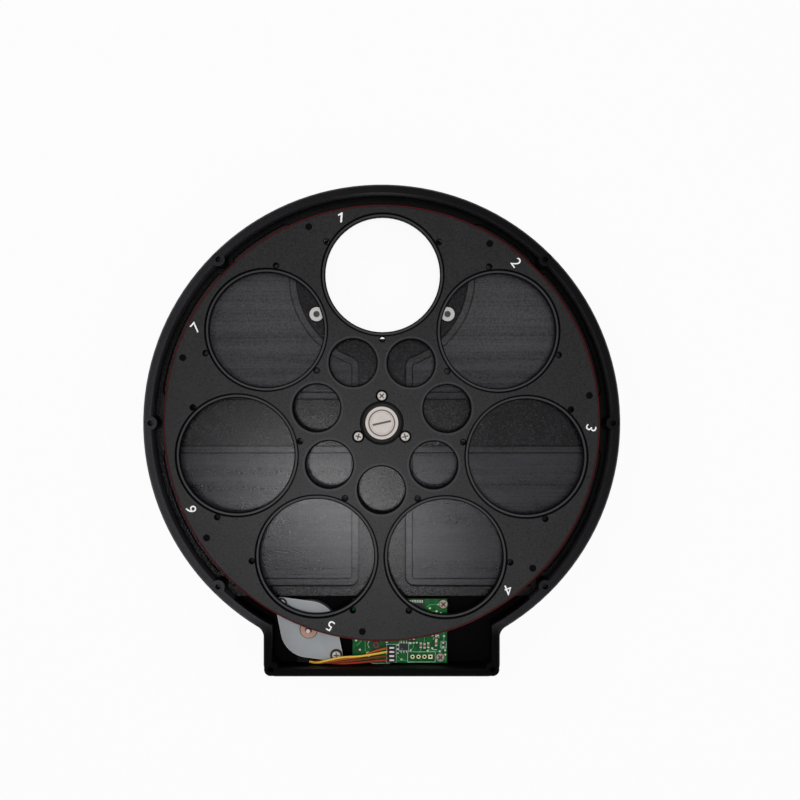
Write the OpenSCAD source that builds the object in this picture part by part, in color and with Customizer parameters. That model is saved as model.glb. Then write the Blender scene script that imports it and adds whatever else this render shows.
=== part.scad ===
// Seven-position optical filter wheel with its front cover off.
// The case lies on its back face. +Z is the optical axis, and the origin is
// where the wheel's own axis meets the back face. The light path is at +Y,
// the bay for the motor and the circuit board is at -Y.

/* [Case] */
// Height of the case from its back face to its rim
case_h = 21; // [20.5:0.5:30]
// Thickness of the side wall
wall_t = 3.3; // [2.5:0.1:4]
// Gap between the wheel's drive band and the side wall
rim_gap = 4.7; // [4.5:0.1:6]
// Gap between the motor's can and the far wall of the bay
motor_end_gap = 3.18; // [3.1:0.05:4.8]
// Gap between the motor's flange and the bay's side wall
motor_side_gap = 0.74; // [0.6:0.1:3]
// Outer corner radius of the bay
bay_corner_r = 5.2; // [3:0.2:7]
// Radius of the fillet where the bay meets the round case
bay_fillet_r = 5; // [3:0.5:8]
// Chamfer along the outer edges
case_chamfer = 0.6; // [0.3:0.1:1]

/* [Case floor] */
// Thickness of the floor on its raised lands
land_t = 7.5; // [7:0.1:7.9]
// Depth of the milled pockets below the lands
pocket_depth = 3; // [2:0.1:3.4]
// Corner radius of the milled pockets
pocket_corner_r = 4; // [3.5:0.5:6]
// Width of the step that the finishing pass leaves along a pocket's wall
pocket_step_w = 3; // [1:0.25:3.25]
// Height of that step
pocket_step_h = 0.5; // [0.3:0.1:1]
// Half the width of the two ribs that cross at the hub
rib_half_w = 10; // [8:0.5:12]
// Radius of the land round the light path
path_land_r = 36.8; // [36.5:0.1:38]
// Width of the ledge between the pockets and the side wall
ledge_w = 2.2; // [1.6:0.1:2.6]
// Gap between the motor's can and the edge of the floor
motor_land_gap = 1.71; // [1.6:0.1:2.4]
// Width of the land between the lower pockets and the bay
bay_land_w = 4.2; // [3:0.2:8]
// Thickness of the floor in the bay
bay_floor_t = 2; // [1.5:0.1:2.2]

/* [Cover screws] */
// Radius of the tapped holes for the cover's M3 screws
cover_hole_r = 1.25; // [1.2:0.05:1.4]
// Depth of those holes
cover_hole_depth = 8; // [6:0.5:10]
// Outer radius of the bosses round those holes
cover_boss_r = 2.8; // [2.6:0.1:3]
// Distance from the case's outer edge to the centre of those holes
cover_hole_inset = 3; // [2.8:0.1:3.2]

/* [Light path] */
// Radius of the hole through the case floor
path_hole_r = 27.2; // [26.8:0.1:28]
// Radius of the M54 thread in the camera-side adapter
adapter_thread_r = 26.6; // [26:0.1:26.7]
// Outer radius of the adapter
adapter_r = 35; // [34.8:0.1:35.6]
// Thickness of the adapter
adapter_t = 3.5; // [3.2:0.1:3.6]
// Radius of the circle that the adapter's screws lie on
adapter_screw_circle_r = 32.3; // [31.8:0.1:32.5]
// Clearance between the adapter and its recess
adapter_gap = 0.1; // [0.05:0.05:0.2]

/* [Wheel] */
// Thickness of the wheel
wheel_t = 4.8; // [4.6:0.1:5.5]
// Height of the wheel's underside above the back face
wheel_z = 13.4; // [13.4:0.1:14.5]
// Number of filter positions
positions = 7; // [6:1:8]
// Turn of the wheel away from its first position, in degrees
wheel_turn = -0.3; // [-0.6:0.1:0]
// Radius of a filter's seat
seat_r = 26; // [25:0.1:28]
// Width of the web between neighbouring seats
seat_web = 2.24; // [2:0.01:3]
// Distance from a seat's edge to the drive band's outside
seat_margin = 3.5; // [3.4:0.1:5]
// Depth of a filter's seat
seat_depth = 2; // [1.5:0.1:2.6]
// Width of the ledge that a filter lies on
seat_ledge = 1.8; // [1:0.1:2.5]
// Radius of the tapped holes that hold a filter's retainer
retainer_hole_r = 1.05; // [0.8:0.05:1.1]
// Distance from a seat's edge to the centres of those holes
retainer_inset = 1.3; // [1.2:0.05:1.45]
// Radius of the lightening holes
lightening_r = 9.85; // [8:0.05:10]
// Distance from the wheel's axis to the lightening holes
lightening_circle_r = 28.1; // [27.9:0.1:28.3]
// Radius of the magnets that mark the positions
magnet_r = 1.5; // [1:0.1:1.6]
// Length of those magnets
magnet_l = 2; // [1.5:0.1:2.5]
// Angle from a filter's centre to its magnet, in degrees
magnet_lead = 20.7; // [19.8:0.1:21]
// Distance from the wheel's edge to the magnets' centres
magnet_inset = 3.9; // [3.8:0.1:4]
// Width of the drive band on the wheel's rim
band_w = 3; // [2.5:0.1:3.4]
// Thickness of the drive band
band_t = 1.4; // [1:0.1:1.5]
// How far the band stands proud of the rim
band_proud = 0.6; // [0.3:0.05:0.8]

/* [Hub] */
// Radius of the bearing's bore
bearing_bore_r = 5; // [4.8:0.1:5.2]
// Outer radius of the bearing
bearing_r = 9.5; // [9.4:0.1:9.8]
// Width of the bearing
bearing_w = 5; // [4.8:0.1:5.4]
// Number of balls
ball_count = 11; // [9:1:12]
// Radius of a ball
ball_r = 1.19; // [1.1:0.01:1.22]
// Thickness of the wheel's lip over the bearing
lip_t = 1.4; // [1.3:0.1:1.6]
// Radius of the opening in that lip
lip_r = 8.9; // [8.7:0.05:9]
// Radius of the stud's collar over the bearing
collar_r = 6.9; // [6.6:0.1:7.4]
// Thickness of the stud's collar
collar_t = 0.8; // [0.6:0.1:1]
// Radius of the stud's slotted head
stud_head_r = 4.85; // [4.4:0.05:5.2]
// Height of the stud's slotted head above its collar
stud_head_h = 0.9; // [0.8:0.1:1.2]
// Width of the slot in the stud
slot_w = 0.9; // [0.7:0.1:1.2]
// Radius of the circle of screws that clamp the bearing
clamp_screw_circle_r = 11.4; // [11.4:0.1:11.7]
// Outer radius of the clamp ring
clamp_r = 14; // [14:0.1:15]

/* [Motor] */
// Radius of the motor's can
motor_r = 12; // [11.6:0.1:12.2]
// Angle of the motor about the wheel's axis, in degrees
motor_angle = -109.5; // [-109.6:0.1:-109.2]
// Radius of the motor's shaft
shaft_r = 1; // [0.95:0.05:1.1]
// Clearance between the shaft and the drive band
drive_gap = 0.05; // [0.02:0.01:0.08]
// Height of the can
motor_h = 7.9; // [7.4:0.1:8.1]
// Thickness of the motor's flange
flange_t = 1; // [0.8:0.1:1.2]
// Distance from the can to the centres of the flange's holes
ear_gap = 4; // [3.9:0.05:4.1]
// Outer radius of the flange's ears
ear_r = 2.7; // [2.6:0.1:2.8]
// Radius of the front bushing
bushing_r = 3.5; // [3:0.1:4]
// Thickness of the can's sheet
can_t = 0.7; // [0.5:0.1:0.8]
// Radial running clearance of turning parts
running_gap = 0.02; // [0.01:0.01:0.05]

/* [Circuit board] */
// Width of the board
board_w = 40.2; // [39.8:0.1:41]
// Depth of the board
board_d = 27.2; // [27:0.1:27.6]
// Thickness of the board
board_t = 1.6; // [1:0.1:1.7]
// Height of the board's underside above the back face
board_z = 8; // [7.8:0.1:8.2]
// Gap between the motor's flange and the board
board_side_gap = 4.17; // [3.7:0.1:5.2]
// Gap between the board and the far wall of the bay
board_gap = 0.7; // [0.5:0.05:0.9]

/* [Hidden] */
$fn = 96;

eps = 0.5;                 // how far a cutter runs past the face it cuts

step_a = 360 / positions;
pitch_r = (seat_r + seat_web / 2) / sin(step_a / 2); // filters' centres
wheel_r = pitch_r + seat_r + seat_margin;  // outside of the drive band
inner_r = wheel_r + rim_gap;               // inside of the round wall
case_r = inner_r + wall_t;
clear_r = seat_r - seat_ledge;
retainer_circle_r = seat_r + retainer_inset;

motor_d = wheel_r + shaft_r + drive_gap;   // wheel's axis to motor's axis
motor_pos = motor_d * [cos(motor_angle), sin(motor_angle)];
ear_angle = 137;           // direction of the flange's first ear
ear_angles = [ear_angle, ear_angle - 180];
ear_circle_r = motor_r + ear_gap;      // flange's holes about the motor's axis
ear_reach = ear_circle_r * abs(cos(ear_angle)) + ear_r;

bay_in_reach = -motor_pos[1] + motor_r + motor_end_gap;
bay_reach = bay_in_reach + wall_t;
bay_in_half_w = -motor_pos[0] + ear_reach + motor_side_gap;
bay_half_w = bay_in_half_w + wall_t;
bay_edge = -motor_pos[1] - motor_r - motor_land_gap;
pocket_end = bay_edge - bay_land_w;
pocket_out_r = inner_r - ledge_w;
path = [0, pitch_r];       // centre of the light path
cover_hole_circle_r = case_r - cover_hole_inset;
cover_hole_angles = [0, 45, 135, 180, 225, 315];
bay_hole_x = bay_half_w - cover_hole_inset;
bay_hole_y = -bay_reach + cover_hole_inset;
boss_relief_r = cover_boss_r + 2.4; // land left round each boss
adapter_screw_angles = [30, 150, 210, 330];
m3_r = 1.5;
m3_tap_r = 1.25;
m3_head_r = 3;
m3_head_h = 1.7;
m3_head_edge = 0.25;       // cylindrical edge above the head's cone
m2_r = 1;
m2_tap_r = 0.85;
m2_head_r = 2;
m2_head_h = 1.1;

wheel_top = wheel_z + wheel_t;
rim_r = wheel_r - band_proud;
groove_r = wheel_r - band_t;
first_a = 90 + wheel_turn; // direction of position 1
magnet_circle_r = wheel_r - magnet_inset;
magnet_sink = 0.4;         // magnets lie this far below the wheel's face

bearing_top = wheel_top - lip_t;
bearing_z = bearing_top - bearing_w;
ball_circle_r = (bearing_bore_r + bearing_r) / 2;
race_groove_r = ball_r + 0.03;
inner_shoulder_r = ball_circle_r - 0.8;
outer_shoulder_r = ball_circle_r + 0.9;
seal_t = 0.3;
seal_sink = 0.35;
hub_boss_r = 6.2;
stud_thread_r = 4;
stud_thread_end = 3;       // height of the blind end of the stud's hole
clamp_t = 1;               // clamp ring below the bearing
counterbore_r = 2.35;
counterbore_depth = 1.2;
clamp_z = bearing_z - clamp_t;

flange_z = bay_floor_t + 0.3 + motor_h;
can_z = flange_z - motor_h;
flange_top = flange_z + flange_t;
bushing_proud = 1.2;
shaft_top = wheel_top - 0.6;
shaft_end = can_z + 0.9;
rotor_r = 6.9;
stator_in_r = 7.2;
stator_out_r = motor_r - can_t - 0.1;
yoke_t = 0.6;
coil_in_r = stator_in_r + 1.4;
motor_inner_z = can_z + can_t;
yoke_pitch = (flange_z - motor_inner_z - yoke_t) / 2;
pole_count = 12;
lead_block = [5, 4, 5];     // moulded block that the leads come out of
lead_block_inset = 0;      // its near face from the motor's axis
lead_block_proud = 2.2;    // how far it stands out of the can
motor_screw_head_r = 1.9;
motor_screw_head_h = 1.1;
motor_screw_grip = 5;      // length of the screws' thread in the posts
board_screw_grip = 3;
washer_r = 2.6;
washer_t = 0.5;
post_r = 2.5;

board_back = -bay_in_reach + board_gap; // edge along the far wall
board_front = board_back + board_d;
board_left = motor_pos[0] + ear_reach + board_side_gap;
board_top = board_z + board_t;
board_right = board_left + board_w;
board_holes = [
    [board_right - 1.6, board_front - 2.2],
    [board_right - 2.9, board_back + 2.4],
    [board_left + 4, board_front - 2.2]
];
pad_pitch = 2.54;
pad_inset = [25.5, 2.6];    // first pad from the board's near corner
pad_first = [board_left, board_back] + pad_inset;
pad_hole_r = 0.5;
plated_hole_r = 0.6;
plated_hole_pos = [board_left + 6.8, board_back + 3.7];
socket_pitch = 1.75;
socket_pos = [board_left + 16.5, board_back + 4.1];
socket_w = 3.4;
socket_h = 2.8;
socket_top = board_top + socket_h;
usb_w = 7.7;
usb_h = 3.9;
usb_d = 9;
usb_x = board_left + 12;
usb_wall_t = 0.4;
usb_gap = 0.25;            // gap between the socket and its cut-out

lead_r = 0.45;
lead_sides = 8;
// Routes of the four leads, from the motor's lead block to the socket
lead_routes = [
    [[-32.2, -101.9, 7.7], [-29.0, -102.2, 9.7], [-26.6, -102.0, 12.2],
     [-22.6, -101.2, 13.6], [-18.0, -100.4, 13.55], [-11.0, -99.6, 12.7],
     [-5.0, -97.4, 11.7], [0.6, -95.9, 11.45]],
    [[-32.2, -101.9, 8.9], [-30.2, -102.1, 10.6], [-28.2, -101.8, 12.7],
     [-24.4, -100.8, 14.0], [-18.5, -99.5, 14.4], [-11.0, -99.1, 14.0],
     [-5.0, -98.4, 12.9], [0.6, -97.6, 11.45]],
    [[-32.2, -101.9, 6.5], [-28.2, -102.25, 8.2], [-25.2, -102.2, 11.0],
     [-21.6, -101.95, 12.9], [-17.4, -101.4, 13.2], [-11.0, -100.7, 12.9],
     [-5.0, -99.9, 12.0], [0.6, -99.4, 11.45]],
    [[-32.2, -101.9, 5.3], [-27.2, -102.3, 6.6], [-23.8, -102.3, 9.4],
     [-20.8, -102.35, 12.0], [-16.6, -102.3, 12.5], [-11.0, -102.0, 12.2],
     [-5.5, -101.6, 11.7], [0.6, -101.1, 11.45]]
];
// Where the motor and the socket stand in the drawing that gave those points
drawn_motor = [-32.249, -87.932, 10.2];
drawn_socket = [2.305, -98.502, 9.6];
lead_colours = ["sienna", "gold", "saddlebrown", "firebrick"];

// ---------------------------------------------------------------- helpers

// Points of an arc of radius r about c, from angle a to angle b
function arc(c, r, a, b, n = 6) =
    [for (i = [0:n]) let (t = a + (b - a) * i / n)
        [c[0] + r * cos(t), c[1] + r * sin(t)]];

module at(p, z = 0) translate([p[0], p[1], z]) children();

module polar(r, a) rotate(a) translate([r, 0, 0]) children();

module ring(r_out, r_in, h) difference() {
    cylinder(r = r_out, h = h);
    translate([0, 0, -eps]) cylinder(r = r_in, h = h + 2 * eps);
}

module box(size, at_centre) translate([
    at_centre[0] - size[0] / 2, at_centre[1] - size[1] / 2, at_centre[2]])
    cube(size);

// Cap screw with a chamfered pan head and a cross recess, head upwards
module pan_screw(head_r, head_h, shank_r, shank_l) {
    edge = head_h * 0.35;
    cross_w = head_r * 0.28;
    cross_l = head_r * 1.25;
    difference() {
        rotate_extrude() polygon([
            [0, -shank_l], [shank_r, -shank_l], [shank_r, 0], [head_r, 0],
            [head_r, head_h - edge], [head_r - edge, head_h], [0, head_h]]);
        for (a = [45, 135]) rotate(a)
            box([cross_l, cross_w, head_h], [0, 0, head_h * 0.45]);
    }
}

// Countersunk M3 screw with a hexagon socket, its face at z = 0
module flat_screw(shank_l) difference() {
    rotate_extrude() polygon([
        [0, -shank_l], [m3_r, -shank_l], [m3_r, -m3_head_h],
        [m3_head_r, -m3_head_edge], [m3_head_r, 0], [0, 0]]);
    translate([0, 0, -m3_head_h * 0.7])
        cylinder(r = m3_head_r * 0.4, h = m3_head_h, $fn = 6);
}

// The seat of such a screw, a little wider all round
module countersink() {
    g = 0.1;
    rotate_extrude() polygon([
        [0, -m3_head_h - g], [m3_r + g, -m3_head_h - g],
        [m3_head_r + g, -m3_head_edge - g], [m3_head_r + g, eps], [0, eps]]);
}

// ------------------------------------------------------------------- case

// Outline of an upper pocket on the right-hand side, i inside its wall
function upper_pocket(i) = let (
    k = pocket_corner_r,                  // corner radius of the outline
    r = k - i,                            // and of this inset outline
    x0 = rib_half_w + k, y0 = rib_half_w + k,
    ro = pocket_out_r - k,                // outer corners' centres
    rp = path_land_r + k,                 // corners round the path's land
    a1 = asin(y0 / ro), a2 = acos(rp / ro),
    ap = acos(x0 / rp)
) concat(
    arc([x0, y0], r, 180, 270),
    arc(ro * [cos(a1), sin(a1)], r, 270, 360 + a1),
    arc([0, 0], pocket_out_r - i, a1, a2, 20),
    arc(ro * [cos(a2), sin(a2)], r, a2, 180),
    arc(path, path_land_r + i, 0, -ap, 16),
    arc(path + rp * [cos(ap), -sin(ap)], r, 180 - ap, 180)
);

// Outline of a lower pocket on the right-hand side
function lower_pocket(i) = let (
    k = pocket_corner_r, r = k - i,
    x0 = rib_half_w + k, y0 = -rib_half_w - k, y1 = -pocket_end + k,
    ro = pocket_out_r - k,
    a0 = asin(y0 / ro), a1 = asin(y1 / ro)
) concat(
    arc([x0, y0], r, 90, 180),
    arc([x0, y1], r, 180, 270),
    arc(ro * [cos(a1), sin(a1)], r, -90, a1),
    arc([0, 0], pocket_out_r - i, a1, a0, 16),
    arc(ro * [cos(a0), sin(a0)], r, a0, 90)
);

module pocket_pair(outline, z) for (m = [0, 1]) mirror([m, 0, 0])
    translate([0, 0, z]) linear_extrude(case_h) polygon(outline);

module pockets() difference() {
    union() {
        pocket_pair(upper_pocket(0), land_t - pocket_depth + pocket_step_h);
        pocket_pair(lower_pocket(0), land_t - pocket_depth + pocket_step_h);
        pocket_pair(upper_pocket(pocket_step_w), land_t - pocket_depth);
        pocket_pair(lower_pocket(pocket_step_w), land_t - pocket_depth);
    }
    for (a = cover_hole_angles) polar(cover_hole_circle_r, a)
        cylinder(r = boss_relief_r, h = land_t);
}

// The bay's outer block, with its upper and lower edges chamfered
module bay_block() {
    c = case_chamfer;
    intersection() {
        translate([0, -bay_reach, 0]) linear_extrude(case_h) union() {
            for (s = [-1, 1]) translate([s * (bay_half_w - bay_corner_r), bay_corner_r])
                circle(r = bay_corner_r);
            translate([-bay_half_w + bay_corner_r, 0])
                square([2 * (bay_half_w - bay_corner_r), bay_reach]);
            translate([-bay_half_w, bay_corner_r])
                square([2 * bay_half_w, bay_reach - bay_corner_r]);
        }
        rotate([90, 0, 0]) linear_extrude(2 * bay_reach) polygon([
            [-bay_half_w + c, 0], [bay_half_w - c, 0], [bay_half_w, c],
            [bay_half_w, case_h - c], [bay_half_w - c, case_h],
            [-bay_half_w + c, case_h], [-bay_half_w, case_h - c],
            [-bay_half_w, c]]);
        rotate([90, 0, 90]) translate([0, 0, -case_r]) linear_extrude(2 * case_r)
            polygon([[-bay_reach + c, 0], [0, 0], [0, case_h],
                [-bay_reach + c, case_h], [-bay_reach, case_h - c],
                [-bay_reach, c]]);
    }
}

// Fills the corner between the bay and the round case up to a fillet
module bay_fillet() {
    bite = 0.03;            // the fillet cuts a little below both faces
    r = bay_fillet_r;
    cx = bay_half_w + r - bite;
    cy = -sqrt(pow(case_r + r - bite, 2) - cx * cx);
    a = atan2(cy, cx);
    difference() {
        linear_extrude(case_h - case_chamfer) polygon([
            [cx, cy], [bay_half_w - 1, cy], [bay_half_w - 4, cy + 8],
            (case_r - 1) * [cos(a), sin(a)]]);
        translate([cx, cy, -eps]) cylinder(r = r, h = case_h + 2 * eps);
    }
}

module case_solid() {
    c = case_chamfer;
    rotate_extrude($fn = 180) polygon([
        [0, 0], [case_r - c, 0], [case_r, c], [case_r, case_h - c],
        [case_r - c, case_h], [0, case_h]]);
    bay_block();
    for (m = [0, 1]) mirror([m, 0, 0]) bay_fillet();
}

module case_hollow() {
    translate([0, 0, land_t]) {
        cylinder(r = inner_r, h = case_h, $fn = 180);
        translate([-bay_in_half_w, -bay_in_reach, 0])
            cube([2 * bay_in_half_w, bay_in_reach, case_h]);
    }
    translate([0, 0, bay_floor_t]) intersection() {
        union() {
            cylinder(r = inner_r, h = case_h, $fn = 180);
            translate([-bay_in_half_w, -bay_in_reach, 0])
                cube([2 * bay_in_half_w, bay_in_reach, case_h]);
        }
        translate([-case_r, -bay_reach, -eps])
            cube([2 * case_r, bay_reach - bay_edge, 2 * case_h]);
    }
}

module cover_bosses() {
    for (a = cover_hole_angles) polar(cover_hole_circle_r, a)
        cylinder(r = cover_boss_r, h = case_h);
    for (s = [-1, 1]) translate([s * bay_hole_x, bay_hole_y, 0])
        cylinder(r = cover_boss_r, h = case_h);
}

module cover_holes() translate([0, 0, case_h - cover_hole_depth]) {
    for (a = cover_hole_angles) polar(cover_hole_circle_r, a)
        cylinder(r = cover_hole_r, h = cover_hole_depth + eps);
    for (s = [-1, 1]) translate([s * bay_hole_x, bay_hole_y, 0])
        cylinder(r = cover_hole_r, h = cover_hole_depth + eps);
}

module posts() {
    for (a = ear_angles) at(motor_pos) polar(ear_circle_r, a)
        cylinder(r = post_r, h = flange_z);
    for (p = board_holes) at(p) cylinder(r = 1.9, h = board_z);
}

module post_holes() {
    for (a = ear_angles) at(motor_pos, bay_floor_t) polar(ear_circle_r, a)
        cylinder(r = m3_tap_r, h = case_h);
    for (p = board_holes) at(p, bay_floor_t)
        cylinder(r = m2_tap_r, h = case_h);
}

module back_housing() color("#2b2b2e") difference() {
    union() {
        difference() {
            case_solid();
            case_hollow();
            pockets();
        }
        cover_bosses();
        posts();
        cylinder(r = hub_boss_r, h = bearing_z);
    }
    cover_holes();
    post_holes();
    at(path, -eps) cylinder(r = path_hole_r, h = case_h);
    at(path, -eps) cylinder(r = adapter_r + adapter_gap, h = adapter_t + eps);
    at(path) for (a = adapter_screw_angles) polar(adapter_screw_circle_r, a) {
        cylinder(r = m3_r + 0.1, h = case_h);
        translate([0, 0, land_t]) countersink();
    }
    translate([0, 0, stud_thread_end]) cylinder(r = stud_thread_r, h = case_h);
    box([usb_w + 2 * usb_gap, 3 * wall_t, usb_h + 2 * usb_gap],
        [usb_x, -bay_reach, board_z - usb_h - usb_gap]);
}

module rear_adapter() color("#303033") at(path) difference() {
    rotate_extrude() polygon([
        [adapter_thread_r + 0.6, 0], [adapter_r - 0.4, 0], [adapter_r, 0.4],
        [adapter_r, adapter_t], [adapter_thread_r, adapter_t],
        [adapter_thread_r, 0.6]]);
    for (a = adapter_screw_angles) polar(adapter_screw_circle_r, a)
        translate([0, 0, 0.6]) cylinder(r = m3_r, h = adapter_t);
}

module adapter_screws() color("silver") at(path, land_t)
    for (a = adapter_screw_angles) polar(adapter_screw_circle_r, a)
        flat_screw(land_t - 1);

// -------------------------------------------------------------------- hub

module pivot_stud() color("lightgrey") {
    c = 0.45;
    head_z = bearing_top + collar_t;
    difference() {
        rotate_extrude() polygon([
            [0, stud_thread_end + 0.5], [stud_thread_r, stud_thread_end + 0.5],
            [stud_thread_r, bearing_z], [bearing_bore_r, bearing_z],
            [bearing_bore_r, bearing_top], [collar_r, bearing_top],
            [collar_r, head_z], [stud_head_r, head_z],
            [stud_head_r, head_z + stud_head_h - c],
            [stud_head_r - c, head_z + stud_head_h],
            [0, head_z + stud_head_h]]);
        rotate(12.5) box([2 * stud_head_r - 1.8, slot_w, stud_head_h],
            [0, 0, head_z + 0.1]);
    }
}

module race_groove() rotate_extrude()
    translate([ball_circle_r, 0]) circle(r = race_groove_r, $fn = 48);

module bearing_inner_race() color("silver") translate([0, 0, bearing_z])
    difference() {
        ring(inner_shoulder_r, bearing_bore_r, bearing_w);
        translate([0, 0, bearing_w / 2]) race_groove();
    }

module bearing_outer_race() color("silver") translate([0, 0, bearing_z])
    difference() {
        ring(bearing_r, outer_shoulder_r, bearing_w);
        translate([0, 0, bearing_w / 2]) race_groove();
    }

module ball_places() for (i = [0:ball_count - 1])
    polar(ball_circle_r, i * 360 / ball_count)
        translate([0, 0, bearing_z + bearing_w / 2]) children();

module bearing_balls() color("gainsboro") ball_places() sphere(r = ball_r);

// Crown cage: its closed side runs over the balls and holds the fingers
module bearing_cage() color("tan") difference() {
    translate([0, 0, bearing_z + bearing_w / 2 - 0.75])
        ring(ball_circle_r + 0.45, ball_circle_r - 0.45, 0.75 + ball_r + 0.5);
    ball_places() sphere(r = ball_r + 0.06);
}

module bearing_seals() color("#202022")
    for (z = [bearing_z + seal_sink, bearing_top - seal_sink - seal_t])
        translate([0, 0, z]) ring(outer_shoulder_r, inner_shoulder_r + 0.1, seal_t);

// ------------------------------------------------------------------ wheel

module each_position(r, lead = 0) for (i = [0:positions - 1])
    polar(r, first_a + lead - i * step_a) children();

module filter_hole() {
    translate([0, 0, -eps]) cylinder(r = clear_r, h = wheel_t + 2 * eps);
    translate([0, 0, wheel_t - seat_depth])
        cylinder(r = seat_r, h = seat_depth + eps);
    for (a = [60, 180, 300]) polar(retainer_circle_r, a)
        translate([0, 0, -eps]) cylinder(r = retainer_hole_r, h = wheel_t + 2 * eps);
}

module carousel_disc() color("#2e2e31") translate([0, 0, wheel_z]) difference() {
    c = 0.25;
    g0 = (wheel_t - band_w) / 2;
    rotate_extrude($fn = 180) polygon([
        [0, 0], [rim_r - c, 0], [rim_r, c], [rim_r, g0], [groove_r, g0],
        [groove_r, g0 + band_w], [rim_r, g0 + band_w], [rim_r, wheel_t - c],
        [rim_r - c, wheel_t], [0, wheel_t]]);
    each_position(pitch_r) filter_hole();
    each_position(lightening_circle_r, step_a / 2)
        translate([0, 0, -eps]) cylinder(r = lightening_r, h = wheel_t + 2 * eps);
    each_position(magnet_circle_r, magnet_lead)
        translate([0, 0, wheel_t - magnet_sink - magnet_l])
            cylinder(r = magnet_r, h = wheel_t);
    translate([0, 0, -eps]) cylinder(r = bearing_r, h = wheel_t - lip_t + eps);
    cylinder(r = lip_r, h = wheel_t + eps);
    for (a = [90, 210, 330]) polar(clamp_screw_circle_r, a) {
        translate([0, 0, -eps]) cylinder(r = m2_r + 0.1, h = wheel_t + 2 * eps);
        translate([0, 0, wheel_t - counterbore_depth])
            cylinder(r = counterbore_r, h = counterbore_depth + eps);
    }
}

module drive_band() color("#5a1416")
    translate([0, 0, wheel_z + (wheel_t - band_w) / 2]) {
        b = 0.3;
        rotate_extrude($fn = 180) polygon([
            [groove_r, 0], [wheel_r - b, 0], [wheel_r, b],
            [wheel_r, band_w - b], [wheel_r - b, band_w], [groove_r, band_w]]);
    }

module bearing_clamp_ring() color("#303033") difference() {
    translate([0, 0, clamp_z]) ring(clamp_r, lip_r, wheel_z - clamp_z);
    translate([0, 0, bearing_z]) cylinder(r = bearing_r + 0.05, h = wheel_t);
    for (a = [90, 210, 330]) polar(clamp_screw_circle_r, a)
        translate([0, 0, clamp_z - eps]) cylinder(r = m2_r, h = wheel_t);
}

module clamp_screws() color("silver") for (a = [90, 210, 330])
    polar(clamp_screw_circle_r, a)
        translate([0, 0, wheel_top - counterbore_depth])
            pan_screw(m2_head_r, m2_head_h, m2_r, wheel_t - counterbore_depth + 2);

module index_magnets() color("#4a4a4e") each_position(magnet_circle_r, magnet_lead)
    translate([0, 0, wheel_top - magnet_sink - magnet_l])
        cylinder(r = magnet_r, h = magnet_l);

// ------------------------------------------------------------------ motor

module motor_can() color("silver") at(motor_pos, can_z) difference() {
    cylinder(r = motor_r, h = motor_h);
    translate([0, 0, can_t]) cylinder(r = motor_r - can_t, h = motor_h);
    translate([0, 0, -eps]) cylinder(r = bushing_r - 0.5, h = can_t + 2 * eps);
}

module motor_flange() color("lightgrey") at(motor_pos, flange_z) difference() {
    linear_extrude(flange_t) hull() {
        circle(r = motor_r);
        for (a = ear_angles) polar(ear_circle_r, a) circle(r = ear_r);
    }
    translate([0, 0, -eps]) cylinder(r = bushing_r - 0.5, h = flange_t + 2 * eps);
    for (a = ear_angles) polar(ear_circle_r, a)
        translate([0, 0, -eps]) cylinder(r = m3_r + 0.1, h = flange_t + 2 * eps);
}

module motor_front_bushing() color("#b08d6a") at(motor_pos, flange_z) difference() {
    union() {
        cylinder(r = bushing_r - 0.5, h = flange_t);
        translate([0, 0, flange_t]) cylinder(r = bushing_r, h = bushing_proud);
    }
    translate([0, 0, -eps])
        cylinder(r = shaft_r + running_gap, h = flange_t + bushing_proud + 2 * eps);
}

module motor_rear_bushing() color("#b08d6a") at(motor_pos, can_z) difference() {
    cylinder(r = bushing_r - 0.5, h = can_t + 0.8);
    translate([0, 0, can_t + 0.1]) cylinder(r = shaft_r + running_gap, h = motor_h);
}

module motor_coils() color("peru") at(motor_pos) for (i = [0, 1])
    translate([0, 0, motor_inner_z + yoke_t + i * yoke_pitch])
        ring(stator_out_r, coil_in_r, yoke_pitch - yoke_t);

module motor_stator() color("dimgray") at(motor_pos) {
    for (i = [0:2]) translate([0, 0, motor_inner_z + i * yoke_pitch])
        ring(stator_out_r, stator_in_r, yoke_t);
    difference() {
        for (i = [0, 1], k = [0:pole_count - 1]) rotate((k + i / 2) * 360 / pole_count)
            translate([stator_in_r, -0.7, motor_inner_z + yoke_t / 2 + i * yoke_pitch])
                cube([coil_in_r - stator_in_r - 0.2, 1.4, yoke_pitch]);
        cylinder(r = stator_in_r, h = case_h);
    }
}

module motor_shaft() color("gainsboro") at(motor_pos, shaft_end) {
    c = 0.2;
    l = shaft_top - shaft_end;
    rotate_extrude() polygon([
        [0, 0], [shaft_r, 0], [shaft_r, l - c], [shaft_r - c, l], [0, l]]);
}

module motor_rotor() color("#38383c") at(motor_pos, shaft_end + 0.8)
    ring(rotor_r, shaft_r, flange_z - shaft_end - 1.2);

module motor_lead_block() color("ivory") at(motor_pos) difference() {
    translate([-lead_block[0] - lead_block_inset, -motor_r - lead_block_proud,
        flange_z - lead_block[2] - 0.6]) cube(lead_block);
    cylinder(r = motor_r, h = case_h);
}

module motor_screws() color("silver") at(motor_pos, flange_top + washer_t)
    for (a = ear_angles) polar(ear_circle_r, a)
        pan_screw(motor_screw_head_r, motor_screw_head_h, m3_tap_r,
                flange_t + washer_t + motor_screw_grip);

module motor_washers() color("#1c1c1e") at(motor_pos, flange_top)
    for (a = ear_angles) polar(ear_circle_r, a) ring(washer_r, m3_r, washer_t);

// ---------------------------------------------------------- circuit board

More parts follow.
